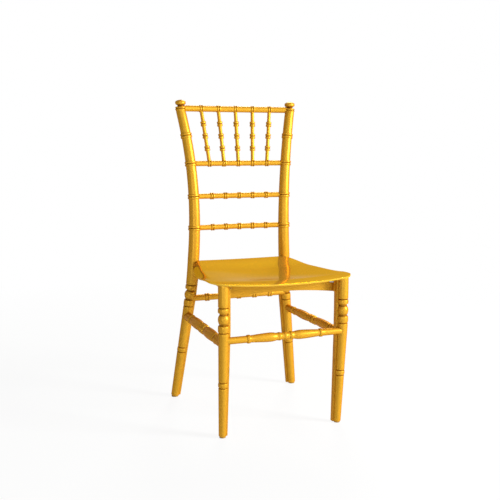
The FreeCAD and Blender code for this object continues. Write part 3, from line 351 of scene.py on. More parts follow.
def turned(steps, plain_above=math.inf):
    """Closed turned piece about Z. Above one height it may be kept free of the painted groove shade."""
    shape = bmesh.new()
    steps = [(steps[0][0], 0.0)] + list(steps) + [(steps[-1][0], 0.0)]
    line = [shape.verts.new((radius, 0, height)) for height, radius in profile_points(steps)]
    for pair in zip(line, line[1:]):
        shape.edges.new(pair)
    for edge in list(shape.edges):
        cuts = int(abs(edge.verts[0].co.z - edge.verts[1].co.z) / PLAIN_STRETCH)
        if cuts:
            bmesh.ops.subdivide_edges(shape, edges=[edge], cuts=cuts)
    bmesh.ops.spin(shape, geom=shape.verts[:] + shape.edges[:], cent=(0, 0, 0), axis=(0, 0, 1),
                   angle=math.tau, steps=TURNED_SIDES, use_merge=True)
    bmesh.ops.remove_doubles(shape, verts=shape.verts, dist=NEAR)
    bmesh.ops.recalc_face_normals(shape, faces=shape.faces)
    rings = [edge for edge in shape.edges
             if abs(edge.verts[0].co.z - edge.verts[1].co.z) < NEAR
             and len(edge.link_faces) == 2 and edge.calc_face_angle() > SHARP_TURN]
    soft_edges(shape, rings, EDGE_ROUND, clamp=True)
    mark_groove_shade(shape, plain_above)
    return shape


def laid_along(shape, centre_at, direction_at):
    """Move a piece that was turned about Z so that its axis follows a line in space."""
    for vert in shape.verts:
        height = vert.co.z
        along = direction_at(height)
        side = along.orthogonal() if abs(along.x) > SIDEWAYS else Vector((1, 0, 0)) - along * along.x
        side.normalize()
        vert.co = centre_at(height) + side * vert.co.x + along.cross(side) * vert.co.y
    return shape


# %% [markdown]
# ## From a shape to a piece of the chair
# A finished shape is scaled to metres and shifted to the chair's place, its normals are turned outwards,
# and it becomes an object that rides on the chair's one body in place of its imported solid. Shading is
# smooth up to a sharp fold.

# %% Finish a piece
CRISP_FOLD = math.radians(38)
piece_sizes = {}


def mesh_of(name, shape):
    mesh = bpy.data.meshes.new(name)
    shape.to_mesh(mesh)
    shape.free()
    return mesh


def finished(name, shape, replaced, material=RESIN, left=False):
    """Make a shape a piece of the chair. Shapes are of the right-hand side, and left mirrors one."""
    if left:
        bmesh.ops.scale(shape, verts=shape.verts, vec=(-1, 1, 1))
    bmesh.ops.translate(shape, verts=shape.verts, vec=(0, TO_CHAIR_Y, 0))
    bmesh.ops.scale(shape, verts=shape.verts, vec=(MM, MM, MM))
    bmesh.ops.recalc_face_normals(shape, faces=shape.faces)
    mesh = mesh_of(name, shape)
    mesh.shade_smooth()
    mesh.set_sharp_from_angle(angle=CRISP_FOLD)
    mesh.materials.append(material)
    piece = in_scene(name, mesh)
    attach(piece, "root")
    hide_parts(*replaced)
    piece_sizes[name] = len(mesh.polygons)


def both_sides(name, ending, make):
    for side in ("right_", "left_"):
        finished(side + name + ending, make(), [side + name], left=side == "left_")


def shifted(steps, height, radius):
    """Steps of a profile, moved along by a height and out by a radius."""
    return [tuple(value + (radius if index % 2 else height) for index, value in enumerate(step))
            for step in steps]


def both_ways(half):
    """Steps of a bar that is alike on both sides of height 0, from the steps of its upper half."""
    lower = []
    for before, step in zip(half, half[1:]):
        if len(step) == 4:
            lower.append((-before[0], before[1], -step[2], step[3]))
        else:
            lower.append((-before[0], before[1]))
    lower.reverse()
    return [(-half[-1][0], half[-1][1])] + lower + half[1:]


# %% [markdown]
# ## Rings
# The rings stand for the nodes of bamboo. Each is a pair of bands with a groove between them. Each band is
# an arc over its width.

# %% Profile of a double ring
GROOVE_HALF = 1.2
GROOVE_DEPTH = 2.2
BAND_CROWN = 0.35
BAND_SLOPE = 0.4        # width of the steep outer side of a band
RING_CLEAR = 1.1        # where the bar is plain again beside a ring


def double_ring(height, width, root, crest):
    """Steps of two slightly crowned bands with a groove between them."""
    half = width / 2
    shoulder = crest - BAND_CROWN
    return [
        (height - half - RING_CLEAR, root),
        (height - half, root),
        (height - half + BAND_SLOPE, shoulder),
        (height - GROOVE_HALF, shoulder, height - (half + GROOVE_HALF) / 2, crest),
        (height, crest - GROOVE_DEPTH),
        (height + GROOVE_HALF, shoulder),
        (height + half - BAND_SLOPE, shoulder, height + (half + GROOVE_HALF) / 2, crest),
        (height + half, root),
        (height + half + RING_CLEAR, root),
    ]


# %% [markdown]
# ## Rails
# Four rails bow backwards between the posts. A rail is turned straight, with its five rings, and then laid
# along an arc between the axes of the posts. It runs on into them, so that no gap shows at its ends.

# %% Four bowed rails
# Name, depth below the finials' tops, bow, radius, ring radius, ring width, and the spacing of the rings as
# a share of half the rail's length.
RAILS = [
    ("top_rail", 25.2, 9.5, 9.0, 10.9, 10.5, 0.312),
    ("second_rail", 188.5, 6.5, 7.9, 10.2, 11.0, 0.303),
    ("third_rail", 286.5, 6.5, 7.9, 10.2, 11.0, 0.301),
    ("fourth_rail", 381.0, 6.5, 7.9, 10.2, 11.0, 0.299),
]
RINGS_PER_RAIL = 5
INTO_POST = 6.0


class Rail:
    """Axis of a rail as an arc, and the places of its rings."""

    def __init__(self, depth, bow, ring_share):
        self.end = POST.point(CHAIR_HEIGHT - depth)
        self.bend = (self.end.x ** 2 + bow ** 2) / (2 * bow)
        self.centre_y = self.end.y + bow - self.bend
        pitch = self.end.x * ring_share
        self.rings = [pitch * (index - (RINGS_PER_RAIL - 1) / 2) for index in range(RINGS_PER_RAIL)]

    def point(self, x):
        return Vector((x, self.centre_y + math.sqrt(self.bend ** 2 - x ** 2), self.end.z))

    def direction(self, x):
        return Vector((math.sqrt(self.bend ** 2 - x ** 2), -x, 0)).normalized()


rails = {}
for name, depth, bow, radius, ring_radius, ring_width, ring_share in RAILS:
    rail = Rail(depth, bow, ring_share)
    rails[name] = rail
    steps = [(INTO_POST - rail.end.x, radius)]
    for place in rail.rings:
        steps += double_ring(place, ring_width, radius, ring_radius)
    steps.append((rail.end.x - INTO_POST, radius))
    finished(name + "_turned", laid_along(turned(steps), rail.point, rail.direction), [name])
print("rails:", {name: piece_sizes[name + "_turned"] for name in rails})

# %% [markdown]
# ## Spindles
# Five spindles stand between the rings of the top rail and the second rail. They lean outwards with the
# posts, because the rings of the longer top rail are further apart. Each one is turned with three double
# rings and laid along the line between its two rings.

# %% Five spindles
SPINDLE_RADIUS = 5.4
SPINDLE_RING_RADIUS = 8.5
SPINDLE_RING_WIDTH = 14.8
SPINDLE_RING_SPACING = 37.4
SPINDLE_INTO_RAIL = 4.0

for index in range(RINGS_PER_RAIL):
    low = rails["second_rail"].point(rails["second_rail"].rings[index])
    high = rails["top_rail"].point(rails["top_rail"].rings[index])
    along = (high - low).normalized()
    middle = (low + high) / 2
    half = (high - low).length / 2 - SPINDLE_INTO_RAIL
    steps = [(-half, SPINDLE_RADIUS)]
    for place in (-SPINDLE_RING_SPACING, 0.0, SPINDLE_RING_SPACING):
        steps += double_ring(place, SPINDLE_RING_WIDTH, SPINDLE_RADIUS, SPINDLE_RING_RADIUS)
    steps.append((half, SPINDLE_RADIUS))
    shape = laid_along(turned(steps), lambda height: middle + along * height, lambda height: along)
    finished("spindle_%d_turned" % (index + 1), shape, ["spindle_%d" % (index + 1)])
print("faces of a spindle:", piece_sizes["spindle_1_turned"])


# %% [markdown]
# ## Turned stretch and foot of the legs
# All four legs are turned alike: from the top down a bead, a neck, a long bulb, another neck, a ring, and
# then a plain tapered shaft with a pair of grooves low down.

# %% Profile of a leg
TURNING_BOTTOM = SEAT_RIM - 136.2
TURNING_HEIGHT = 70.0
BEAD_PROUD = 0.7
LEG_GROOVE = 2.6
NECK_DEPTH = 3.6
RING_HALF = 7.5         # half the distance between the pair of grooves
RING_SHOULDER = 0.2
RING_PROUD = 0.9
GROOVE_SLOPE = 1.8      # from the middle of a groove to its edge
FOOT_ROUND = 3.5


def between(height, stations):
    """Value at a height, straight between (height, value) stations and level beyond the last."""
    for (low, low_value), (high, high_value) in zip(stations, stations[1:]):
        if height <= high:
            return low_value + (high_value - low_value) * (height - low) / (high - low)
    return stations[-1][1]


def leg_steps(radius_at, low_ring):
    """Steps from the foot to the top of the turned stretch."""
    ring = radius_at(low_ring)
    foot = radius_at(FLOOR_GAP)
    bend = FOOT_ROUND * (1 - math.sqrt(0.5))
    steps = [(FLOOR_GAP, foot - FOOT_ROUND),
             (FLOOR_GAP + FOOT_ROUND, foot, FLOOR_GAP + bend, foot - bend)]
    steps += shifted([
        (-RING_HALF - GROOVE_SLOPE, 0.0), (-RING_HALF, -LEG_GROOVE),
        (-RING_HALF + GROOVE_SLOPE, RING_SHOULDER),
        (RING_HALF - GROOVE_SLOPE, RING_SHOULDER, 0.0, RING_PROUD),
        (RING_HALF, -LEG_GROOVE), (RING_HALF + GROOVE_SLOPE, 0.0),
    ], low_ring, ring)
    low = radius_at(TURNING_BOTTOM)
    high = radius_at(TURNING_BOTTOM + TURNING_HEIGHT)
    bead = high + BEAD_PROUD
    neck = low - NECK_DEPTH
    return steps + shifted([
        (-0.4, low), (1.3, low - LEG_GROOVE), (3.0, low),
        (20.0, low, 11.2, low + BEAD_PROUD), (21.4, neck),
        (49.5, neck, 37.0, bead), (53.6, neck), (55.0, bead - 0.6),
        (66.2, bead - 0.6, 60.7, bead), (68.0, high - LEG_GROOVE), (TURNING_HEIGHT, high),
    ], TURNING_BOTTOM, 0.0)


# %% [markdown]
# ## Square inner corners and the cut of the foot
# The legs are round on the outside only. On the inside each has a square corner, a box that reaches inward
# and to the back and follows the leg's bend and taper. A boolean joins it to the turned column. The box
# starts under the floor, and `bisect_plane` cuts it level at the top of the glide. The round of the foot is
# in the turned profile.

# %% Join and cut
WEB_START = -6.0
WEB_EDGE = 0.07         # round of the inner edge, as a share of the box
WEB_CUTS = 24
LUG_ROUND = 1.0
CUT_NEAR = 0.0001


def cube():
    shape = bmesh.new()
    bmesh.ops.create_cube(shape, size=1)
    return shape


def upright_edges(shape):
    return [edge for edge in shape.edges if abs(edge.verts[0].co.z - edge.verts[1].co.z) > 0.5]


def corner_web(axis, inward, back, top):
    """Square corner of a leg. Inward and back say how far it goes at the floor, and from WEB_FULL up."""
    shape = cube()
    inner_edge = [edge for edge in upright_edges(shape)
                  if edge.verts[0].co.x < 0 and edge.verts[0].co.y > 0]
    soft_edges(shape, inner_edge, WEB_EDGE, segments=3)
    bmesh.ops.subdivide_edges(shape, edges=upright_edges(shape), cuts=WEB_CUTS, use_grid_fill=True)
    for vert in shape.verts:
        height = WEB_START + (vert.co.z + 0.5) * (top - WEB_START)
        centre = axis.point(height)
        inner = between(max(height, 0), [(0.0, inward[0]), (WEB_FULL, inward[1])])
        outer = between(max(height, 0), [(0.0, back[0]), (WEB_FULL, back[1])])
        vert.co = Vector((centre.x + inner * (vert.co.x - 0.5), centre.y + outer * (vert.co.y + 0.5), height))
    bmesh.ops.recalc_face_normals(shape, faces=shape.faces)
    return shape


def united(shapes):
    """One closed shape from several that run into each other."""
    pieces = [in_scene("part", mesh_of("part", shape)) for shape in shapes]
    for other in pieces[1:]:
        modifier = pieces[0].modifiers.new("union", "BOOLEAN")
        modifier.operation = "UNION"
        modifier.solver = "EXACT"
        modifier.object = other
    result = bmesh.new()
    result.from_object(pieces[0], bpy.context.evaluated_depsgraph_get())
    for piece in pieces:
        mesh = piece.data
        bpy.data.objects.remove(piece)
        bpy.data.meshes.remove(mesh)
    return result


def level_cut(shape, height):
    """Cut off what is below a height and close the cut."""
    cut = bmesh.ops.bisect_plane(shape, geom=shape.verts[:] + shape.edges[:] + shape.faces[:], dist=CUT_NEAR,
                                 plane_co=(0, 0, height), plane_no=(0, 0, -1), clear_outer=True)
    rim = [item for item in cut["geom_cut"] if isinstance(item, bmesh.types.BMEdge)]
    bmesh.ops.edgeloop_fill(shape, edges=rim)


def lug(low, high):
    """Block with slightly rounded edges between two corners."""
    shape = cube()
    bmesh.ops.scale(shape, verts=shape.verts, vec=high - low)
    bmesh.ops.translate(shape, verts=shape.verts, vec=(high + low) / 2)
    soft_edges(shape, shape.edges[:], LUG_ROUND)
    return shape


# %% [markdown]
# ## Front legs
# A front leg is turned, bent, joined with its square corner, cut level at the foot and ended inside the
# thickness of the seat. A rib behind its inner corner closes the joint with the front apron.

# %% Two front legs
FRONT_RADII = [(0.0, 10.5), (TURNING_BOTTOM, 14.5)]
FRONT_LOW_RING = 149.0
FRONT_LEG_TOP = SEAT_RIM - 4.0
FRONT_WEB_TOP = FRONT_LEG_TOP - 1.0
FRONT_WEB_IN = (14.0, 19.5)
FRONT_WEB_BACK = (13.0, 17.5)
RIB_LOW = Vector((152.4, -214.0, SEAT_RIM - 48.7))
RIB_HIGH = Vector((156.2, -200.4, SEAT_RIM - 6.2))


def front_leg():
    steps = leg_steps(lambda height: between(height, FRONT_RADII), FRONT_LOW_RING)
    steps.append((FRONT_LEG_TOP, FRONT_RADII[-1][1]))
    column = laid_along(turned(steps), FRONT.point, FRONT.direction)
    web = corner_web(FRONT, FRONT_WEB_IN, FRONT_WEB_BACK, FRONT_WEB_TOP)
    leg = united([column, web, lug(RIB_LOW, RIB_HIGH)])
    level_cut(leg, FLOOR_GAP)
    return leg


both_sides("front_leg", "_turned", front_leg)
print("faces of a front leg:", piece_sizes["right_front_leg_turned"])

# %% [markdown]
# ## Back posts
# A back post goes from the foot to the finial in one piece. Above the seat it is a plain tapered bar with
# four double rings, one for each lower rail and a free one. On top are a collar, a short neck and a
# flattened ball. The axis leans out to the top, but collar and ball sit level, so the direction of the
# post turns upright over the last stretch. A shelf on the post's front carries the corner of the seat.

# %% Two back posts
COLLAR_HEIGHT = CHAIR_HEIGHT - 26.0
COLLAR_WIDTH = 8.4
COLLAR_RADIUS = 15.8
NECK_RADIUS = 9.3
BALL_RADIUS = 15.8
UPRIGHT_FROM = COLLAR_HEIGHT - 22.0
BALL_MIDDLE = CHAIR_HEIGHT - 8.75
POST_RING_WIDTH = 14.2
POST_RING_PROUD = 2.4
POST_RING_DEPTHS = (381.0, 286.5, 188.5, 106.0)
REAR_LOW_RING = 154.0
REAR_WEB_TOP = SEAT_RIM + 3.0
REAR_WEB_IN = (17.5, 20.5)
REAR_WEB_BACK = (9.0, 11.5)
SHELF_FRONT_Y = 98.0
SHELF_OUTER_X = 147.0
SHELF_BOTTOM = SEAT_RIM - 31.7
SHELF_TOP = SEAT_RIM - 1.0
POST_RADII = [
    (0.0, 12.3),
    (WEB_FULL, 15.0),
    (SEAT_RIM + 12.3, 17.5),
    (WAIST_HEIGHT, 16.6),
    (WAIST_HEIGHT + 100.0, 15.6),
    (COLLAR_HEIGHT, 14.3),
]


def post_radius(height):
    return between(height, POST_RADII)


def post_point(height):
    """Axis of the post, going straight up from the foot of the collar."""
    bend_end = min(height, COLLAR_HEIGHT - COLLAR_WIDTH / 2)
    point = POST.point(bend_end)
    return Vector((point.x, point.y, height))


def post_direction(height):
    share = (height - UPRIGHT_FROM) / (COLLAR_HEIGHT - COLLAR_WIDTH / 2 - UPRIGHT_FROM)
    share = min(max(share, 0.0), 1.0)
    return POST.direction(min(height, COLLAR_HEIGHT)).lerp(Vector((0, 0, 1)), share).normalized()


def seat_shelf():
    """Shelf on the front of the post that carries the rear corner of the seat."""
    centre = POST.point(REAR_WEB_TOP)
    low = Vector((centre.x - REAR_WEB_IN[1], SHELF_FRONT_Y, SHELF_BOTTOM))
    return lug(low, Vector((SHELF_OUTER_X, centre.y, SHELF_TOP)))


def back_post():
    steps = leg_steps(post_radius, REAR_LOW_RING)
    steps += POST_RADII[2:4]
    for depth in POST_RING_DEPTHS:
        height = CHAIR_HEIGHT - depth
        radius = post_radius(height)
        steps += double_ring(height, POST_RING_WIDTH, radius, radius + POST_RING_PROUD)
    steps = sorted(steps)
    steps += double_ring(COLLAR_HEIGHT, COLLAR_WIDTH, POST_RADII[-1][1], COLLAR_RADIUS)
    steps += [
        (COLLAR_HEIGHT + COLLAR_WIDTH / 2 + 0.4, NECK_RADIUS),
        (BALL_MIDDLE - 7.2, NECK_RADIUS),
        (BALL_MIDDLE, BALL_RADIUS, BALL_MIDDLE - 5.0, 14.2),
        (BALL_MIDDLE + 5.4, 12.2, BALL_MIDDLE + 3.6, 14.9),
        (CHAIR_HEIGHT, 0.3, CHAIR_HEIGHT - 1.0, 6.2),
    ]
    column = laid_along(turned(steps, BALL_MIDDLE), post_point, post_direction)
    web = corner_web(POST, REAR_WEB_IN, REAR_WEB_BACK, REAR_WEB_TOP)
    post = united([column, web, seat_shelf()])
    level_cut(post, FLOOR_GAP)
    return post


both_sides("back_post", "_turned", back_post)
print("faces of a back post:", piece_sizes["right_back_post_turned"])

# %% [markdown]
# ## Front and back stretcher
# One stretcher joins the front legs and one the back legs. The front one is the fancy turning that
# everyone sees: a bead in the middle, two long pear shapes, and a ring near each end. Its profile is
# written as changes from the plain bar. The back one has five double rings, like the rails. Both end
# inside the legs.

# %% Stretchers across the chair
INTO_LEG = 3.0
ACROSS = Vector((1, 0, 0))
STRETCHER = 9.5
BACK_RING_RADIUS = 12.0
BACK_RING_WIDTH = 14.0
BACK_RING_SPACING = 51.8


def across_bar(name, axis, height, forward, half_steps):
    """Bar between two legs, in front of their axes by forward, from the steps of its right-hand half."""
    place = axis.point(height)
    middle = Vector((0, place.y - forward, height))
    steps = both_ways(half_steps + [(place.x - INTO_LEG, half_steps[-1][1])])
    shape = laid_along(turned(steps), lambda along: middle + ACROSS * along, lambda along: ACROSS)
    finished(name + "_turned", shape, [name])


across_bar("front_stretcher", FRONT, SEAT_RIM - 157.2, 3.0, shifted([
    (0, 2.0), (5.0, 0.4, 3.2, 1.5),
    (12.6, 0.2), (13.6, 1.3), (20.4, 1.3, 17.0, 1.8), (21.6, 0.8),
    (27.0, 0.9), (45.0, 3.1, 36.0, 2.6), (100.0, 0.0, 68.0, 2.2),
    (101.5, 1.7), (109.5, 1.7, 105.5, 2.2), (111.0, 0.0),
], 0, STRETCHER))

back_rings = []
for count in (0, 1, 2):
    ring = double_ring(count * BACK_RING_SPACING, BACK_RING_WIDTH, STRETCHER, BACK_RING_RADIUS)
    back_rings += [step for step in ring if step[0] >= 0]
across_bar("back_stretcher", POST, SEAT_RIM - 111.2, 2.0, back_rings)
print("faces of the front stretcher:", piece_sizes["front_stretcher_turned"])

# %% [markdown]
# ## Side stretchers
# Each side has a twin stretcher: two like turned bars moulded side by side, the inner one a little higher.
# Both are turned from the same steps and joined.

# %% Two twin side stretchers
SIDE_BAR = 9.6
SIDE_HEIGHT = SEAT_RIM - 167.7
OUTER_BAR = Vector((3.5, 0, 0))         # from the axes of the legs
INNER_BAR = Vector((-5.0, 0, 5.5))      # from the outer bar
PATTERN_FORWARD = 4.2   # middle of the turned pattern, in front of the middle of the bar


def side_stretcher():
    front = FRONT.point(SIDE_HEIGHT) + OUTER_BAR
    rear = POST.point(SIDE_HEIGHT) + OUTER_BAR
    along = (rear - front).normalized()
    middle = (front + rear) / 2 - along * PATTERN_FORWARD
    half = (rear - front).length / 2
    steps = both_ways(shifted([
        (0, 2.0), (4.4, 1.2), (5.2, -2.2), (7.4, -2.2),
        (8.4, 1.0), (17.0, 1.0, 13.0, 1.9), (18.2, -2.6), (22.6, -2.6),
        (25.0, 0.0), (112.0, 0.0, 66.0, 2.2), (113.6, -2.6), (118.2, -2.6),
        (119.6, -0.6), (125.8, -0.8), (127.2, 0.8), (136.0, 0.8, 131.6, 1.2), (137.5, 0.0),
    ], 0, SIDE_BAR))
    steps = [(PATTERN_FORWARD + INTO_LEG - half, SIDE_BAR)] + steps
    steps.append((half + PATTERN_FORWARD - INTO_LEG, SIDE_BAR))
    bars = []
    for shift in (Vector((0, 0, 0)), INNER_BAR):
        start = middle + shift
        bars.append(laid_along(turned(steps), lambda place: start + along * place, lambda place: along))
    return united(bars)


both_sides("side_stretcher", "_turned", side_stretcher)
print("faces of a side stretcher:", piece_sizes["right_side_stretcher_turned"])

# %% [markdown]
# ## Seat
# The seat is one thin moulded shell: bowed at the front, dished where one sits, risen at the back, with
# sides that roll down more and more towards the back posts. A grid is laid over its plan so that the
# outermost rows follow the outline, each point is lifted to its height, `solidify` gives it thickness, and
# its edges are rounded. A grid that follows the outline keeps the reflections in it free of kinks.

# %% Plan and heights of the seat
SEAT_HALF = 205.0
SEAT_REAR_Y = 116.0
SEAT_REAR_HALF = 157.0
SIDE_POWER = 1.6        # how late the sides draw in towards the back
FRONT_ARC = 730.0
CORNER = 48.0
REAR_CORNER = 8.0
CORNER_X = SEAT_HALF - CORNER
CORNER_Y = SEAT_FRONT_Y + FRONT_ARC - math.sqrt((FRONT_ARC - CORNER) ** 2 - CORNER_X ** 2)
SHOULDER_Y = SEAT_REAR_Y - 131.0        # where the rise to the back starts
RISE_END_Y = SEAT_REAR_Y - 16.0
REAR_RISE = 8.3
FRONT_DROP = 6.3
FRONT_DROP_REACH = 62.0
ROLL_START = 77.0       # behind the front edge
ROLL_WIDTH = 20.0
ROLL_DEPTH = 19.0
DISH_DEPTH = 11.0
DISH_POWER = 2.6
DISH_MIDDLE_Y = -85.0
DISH_HALF_LENGTH = 150.0
DISH_FRONT_HALF = 168.0
DISH_REAR_HALF = 124.0


def clamped(value):
    return min(max(value, 0.0), 1.0)


def seat_side(y):
    """Half the width at a place along the seat, but for the round corners."""
    share = max((y - CORNER_Y) / (SEAT_REAR_Y - CORNER_Y), 0)
    return SEAT_HALF - (SEAT_HALF - SEAT_REAR_HALF) * share ** SIDE_POWER


def seat_half(y):
    """Half the width with the round corners."""
    if y < CORNER_Y:
        return CORNER_X + math.sqrt(CORNER ** 2 - (CORNER_Y - y) ** 2)
    start = SEAT_REAR_Y - REAR_CORNER
    if y > start:
        return seat_side(start) - REAR_CORNER + math.sqrt(REAR_CORNER ** 2 - (y - start) ** 2)
    return seat_side(y)


def seat_front(x):
    """Front edge across the seat."""
    if abs(x) < CORNER_X * FRONT_ARC / (FRONT_ARC - CORNER):
        return SEAT_FRONT_Y + FRONT_ARC - math.sqrt(FRONT_ARC ** 2 - x ** 2)
    return CORNER_Y - math.sqrt(CORNER ** 2 - (abs(x) - CORNER_X) ** 2)


def seat_rear(x):
    """Rear edge across the seat."""
    past = abs(x) - (seat_side(SEAT_REAR_Y - REAR_CORNER) - REAR_CORNER)
    if past < 0:
        return SEAT_REAR_Y
    return SEAT_REAR_Y - REAR_CORNER + math.sqrt(REAR_CORNER ** 2 - past ** 2)


def seat_height(x, y):
    """Top of the seat: rise to the back, drop at the front, dish, and sides that roll down."""
    back = clamped((y - SHOULDER_Y) / (RISE_END_Y - SHOULDER_Y))
    rise = REAR_RISE * back * back * (3 - 2 * back)
    drop = FRONT_DROP * max((SEAT_FRONT_Y + FRONT_DROP_REACH - y) / FRONT_DROP_REACH, 0) ** 2
    share = (y - SEAT_FRONT_Y) / (SEAT_REAR_Y - SEAT_FRONT_Y)
    across = abs(x / (DISH_FRONT_HALF + (DISH_REAR_HALF - DISH_FRONT_HALF) * share))
    lengthwise = abs((y - DISH_MIDDLE_Y) / DISH_HALF_LENGTH)
    dish = DISH_DEPTH * math.exp(-across ** DISH_POWER - lengthwise ** DISH_POWER)
    rolled = max(1 - (seat_side(y) - abs(x)) / ROLL_WIDTH, 0)
    if rolled > 1:
        rolled = math.sqrt(2 * rolled - 1)
    fade = clamped((y - SEAT_FRONT_Y - ROLL_START) / (SHOULDER_Y - SEAT_FRONT_Y - ROLL_START))
    return SEAT_RIM + rise - drop - dish - ROLL_DEPTH * fade * fade * (3 - 2 * fade) * rolled * rolled


print("seat corner at", round(CORNER_X), round(CORNER_Y),
      "middle height", round(seat_height(0, DISH_MIDDLE_Y), 1))

# %% [markdown]
# ## Seat shell
# The grid's corners lie part of the way round the seat's round corners. Rows and columns crowd towards the
# edges, where the sides roll and the rim needs its rounding.

# %% Build the seat
SEAT_CELLS = 140
THICKNESS = 4.6
FRONT_GRID_Y = CORNER_Y - CORNER * 0.62         # where the grid's own corners lie on the round ones
REAR_GRID_Y = SEAT_REAR_Y - REAR_CORNER * 0.3
CROWDING = 0.5
TOP_ROUND = 1.8
UNDER_ROUND = 0.8
SHARP_RIM = math.radians(50)
FLAT_FACE = 0.6         # a face of the top or the underside has a normal at least this upright


def crowded(value):
    """Move a value in -1..1 towards the nearer end."""
    return (1 - CROWDING) * value + CROWDING * math.sin(value * math.pi / 2)


def rounded_rim(shape, upper, offset, segments):
    """Round the upper or the under edge of the seat's rim."""
    edges = []
    for edge in shape.edges:
        if edge.calc_face_angle() > SHARP_RIM:
            slopes = [face.normal.z for face in edge.link_faces]
            if (max(slopes) > FLAT_FACE) if upper else (min(slopes) < -FLAT_FACE):
                edges.append(edge)
    soft_edges(shape, edges, offset, segments, clamp=True)


def seat_shape():
    shape = bmesh.new()
    bmesh.ops.create_grid(shape, x_segments=SEAT_CELLS, y_segments=SEAT_CELLS, size=1)
    for vert in shape.verts:
        across = crowded(vert.co.x)
        share = (crowded(vert.co.y) + 1) / 2
        x = across * seat_half(FRONT_GRID_Y + (REAR_GRID_Y - FRONT_GRID_Y) * share)
        front = seat_front(across * seat_half(FRONT_GRID_Y))
        rear = seat_rear(across * seat_half(REAR_GRID_Y))
        y = front + (rear - front) * share
        vert.co = (x, y, seat_height(x, y))
    bmesh.ops.recalc_face_normals(shape, faces=shape.faces)
    if sum(face.normal.z for face in shape.faces) < 0:
        bmesh.ops.reverse_faces(shape, faces=shape.faces)
    bmesh.ops.solidify(shape, geom=shape.faces[:], thickness=THICKNESS)
    rounded_rim(shape, True, TOP_ROUND, 4)
    rounded_rim(shape, False, UNDER_ROUND, 2)
    return shape


seat = seat_shape()
print("faces of the seat shell:", len(seat.faces))

# %% [markdown]
# ## Boards of the aprons
# The aprons are four straight boards between the legs. A board starts as a block, is divided along its
# length, and its points are then moved to the arched or level lower edge and up to the underside of the
# seat. The lower edges are rounded.

# %% Places of the aprons
APRON = 8.0
FRONT_APRON_Y = -200.0
APRON_FRONT_END = Vector((165.0, -206.2, 0))    # outer face of the side apron at the front leg
APRON_REAR_END = Vector((142.0, 97.7, 0))       # and at the lug of the post
SIDE_APRON_BOTTOM = SEAT_RIM - 28.7
FRONT_APRON_BOTTOM = SEAT_RIM - 49.7
FRONT_APRON_ARCH = 10.0
SEAT_GAP = 0.3
BOARD_CUTS = 31
BOARD_ROUND = 0.9


def side_apron_x(y):
    """Outer face of the side apron."""
    share = (y - APRON_FRONT_END.y) / (APRON_REAR_END.y - APRON_FRONT_END.y)
    return APRON_FRONT_END.x + (APRON_REAR_END.x - APRON_FRONT_END.x) * share


def seat_under(x, y):
    """Underside of the seat, which is equally thick where it slopes."""
    slope_x = seat_height(x + 0.5, y) - seat_height(x - 0.5, y)
    slope_y = seat_height(x, y + 0.5) - seat_height(x, y - 0.5)
    return seat_height(x, y) - THICKNESS * math.sqrt(1 + slope_x ** 2 + slope_y ** 2)


def board(start, end, depth, bottom_at):
    """Upright board from start to end. Its depth is a vector, its lower edge a function of the share."""
    shape = cube()
    lengthwise = [edge for edge in shape.edges if abs(edge.verts[0].co.x - edge.verts[1].co.x) > 0.5]
    bmesh.ops.subdivide_edges(shape, edges=lengthwise, cuts=BOARD_CUTS, use_grid_fill=True)
    lower = [edge for edge in shape.edges
             if all(vert.co.z < 0 for vert in edge.verts)
             and len({round(vert.co.y) for vert in edge.verts}) == 1
             and abs(edge.verts[0].co.x - edge.verts[1].co.x) > NEAR]
    for vert in shape.verts:
        share = vert.co.x + 0.5
        place = start.lerp(end, share) + depth * (vert.co.y + 0.5)
        top = seat_under(place.x, place.y) - SEAT_GAP
        vert.co = (place.x, place.y, top if vert.co.z > 0 else bottom_at(share))
    bmesh.ops.recalc_face_normals(shape, faces=shape.faces)
    soft_edges(shape, lower, BOARD_ROUND)
    return shape


def arch(share):
    """Lower edge of the front apron, a shallow curve up to the middle."""
    return FRONT_APRON_BOTTOM + FRONT_APRON_ARCH * (1 - (2 * share - 1) ** 2)


print("side apron runs", round((APRON_REAR_END - APRON_FRONT_END).length, 1), "mm")

# %% [markdown]
# ## Four aprons
# The front apron runs between the side aprons and has an arch. The rear and side aprons are level.

# %% Place the aprons
REAR_APRON_Y = APRON_REAR_END.y + SEAT_GAP


def level(share):
    return SIDE_APRON_BOTTOM


def cross_board(name, half, y, bottom_at):
    shape = board(Vector((-half, y, 0)), Vector((half, y, 0)), Vector((0, APRON, 0)), bottom_at)
    finished(name + "_board", shape, [name])


cross_board("front_apron", side_apron_x(FRONT_APRON_Y) - APRON, FRONT_APRON_Y, arch)
cross_board("rear_apron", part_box("rear_apron")[1].x / MM, REAR_APRON_Y, level)
both_sides("side_apron", "_board",
           lambda: board(APRON_FRONT_END, APRON_REAR_END, Vector((-APRON, 0, 0)), level))
print("faces of the front apron:", piece_sizes["front_apron_board"])

# %% [markdown]
# ## Seat with its bosses
# Four round bosses under the seat take the screws that hold it. Each is turned and stands over its corner
# block, so it is placed from the corner of the aprons.

# %% Join seat and bosses
BLOCK_TOP = SEAT_RIM - 13.7
BOSS_RADIUS = 6.5
BOSS_ALONG = 24.0       # along the side apron from its corner
BOSS_IN = 9.0


def boss(corner_y, forward):
    """Boss near a corner of the aprons. Forward is 1 if it stands behind its corner, -1 if in front."""
    along = (APRON_REAR_END - APRON_FRONT_END).normalized() * forward
    x = side_apron_x(corner_y) - APRON - BOSS_IN + along.x * BOSS_ALONG
    y = corner_y + along.y * BOSS_ALONG
    shape = turned([(BLOCK_TOP, BOSS_RADIUS), (seat_height(x, y) - THICKNESS / 2, BOSS_RADIUS)])
    bmesh.ops.translate(shape, verts=shape.verts, vec=(x, y, 0))
    return shape


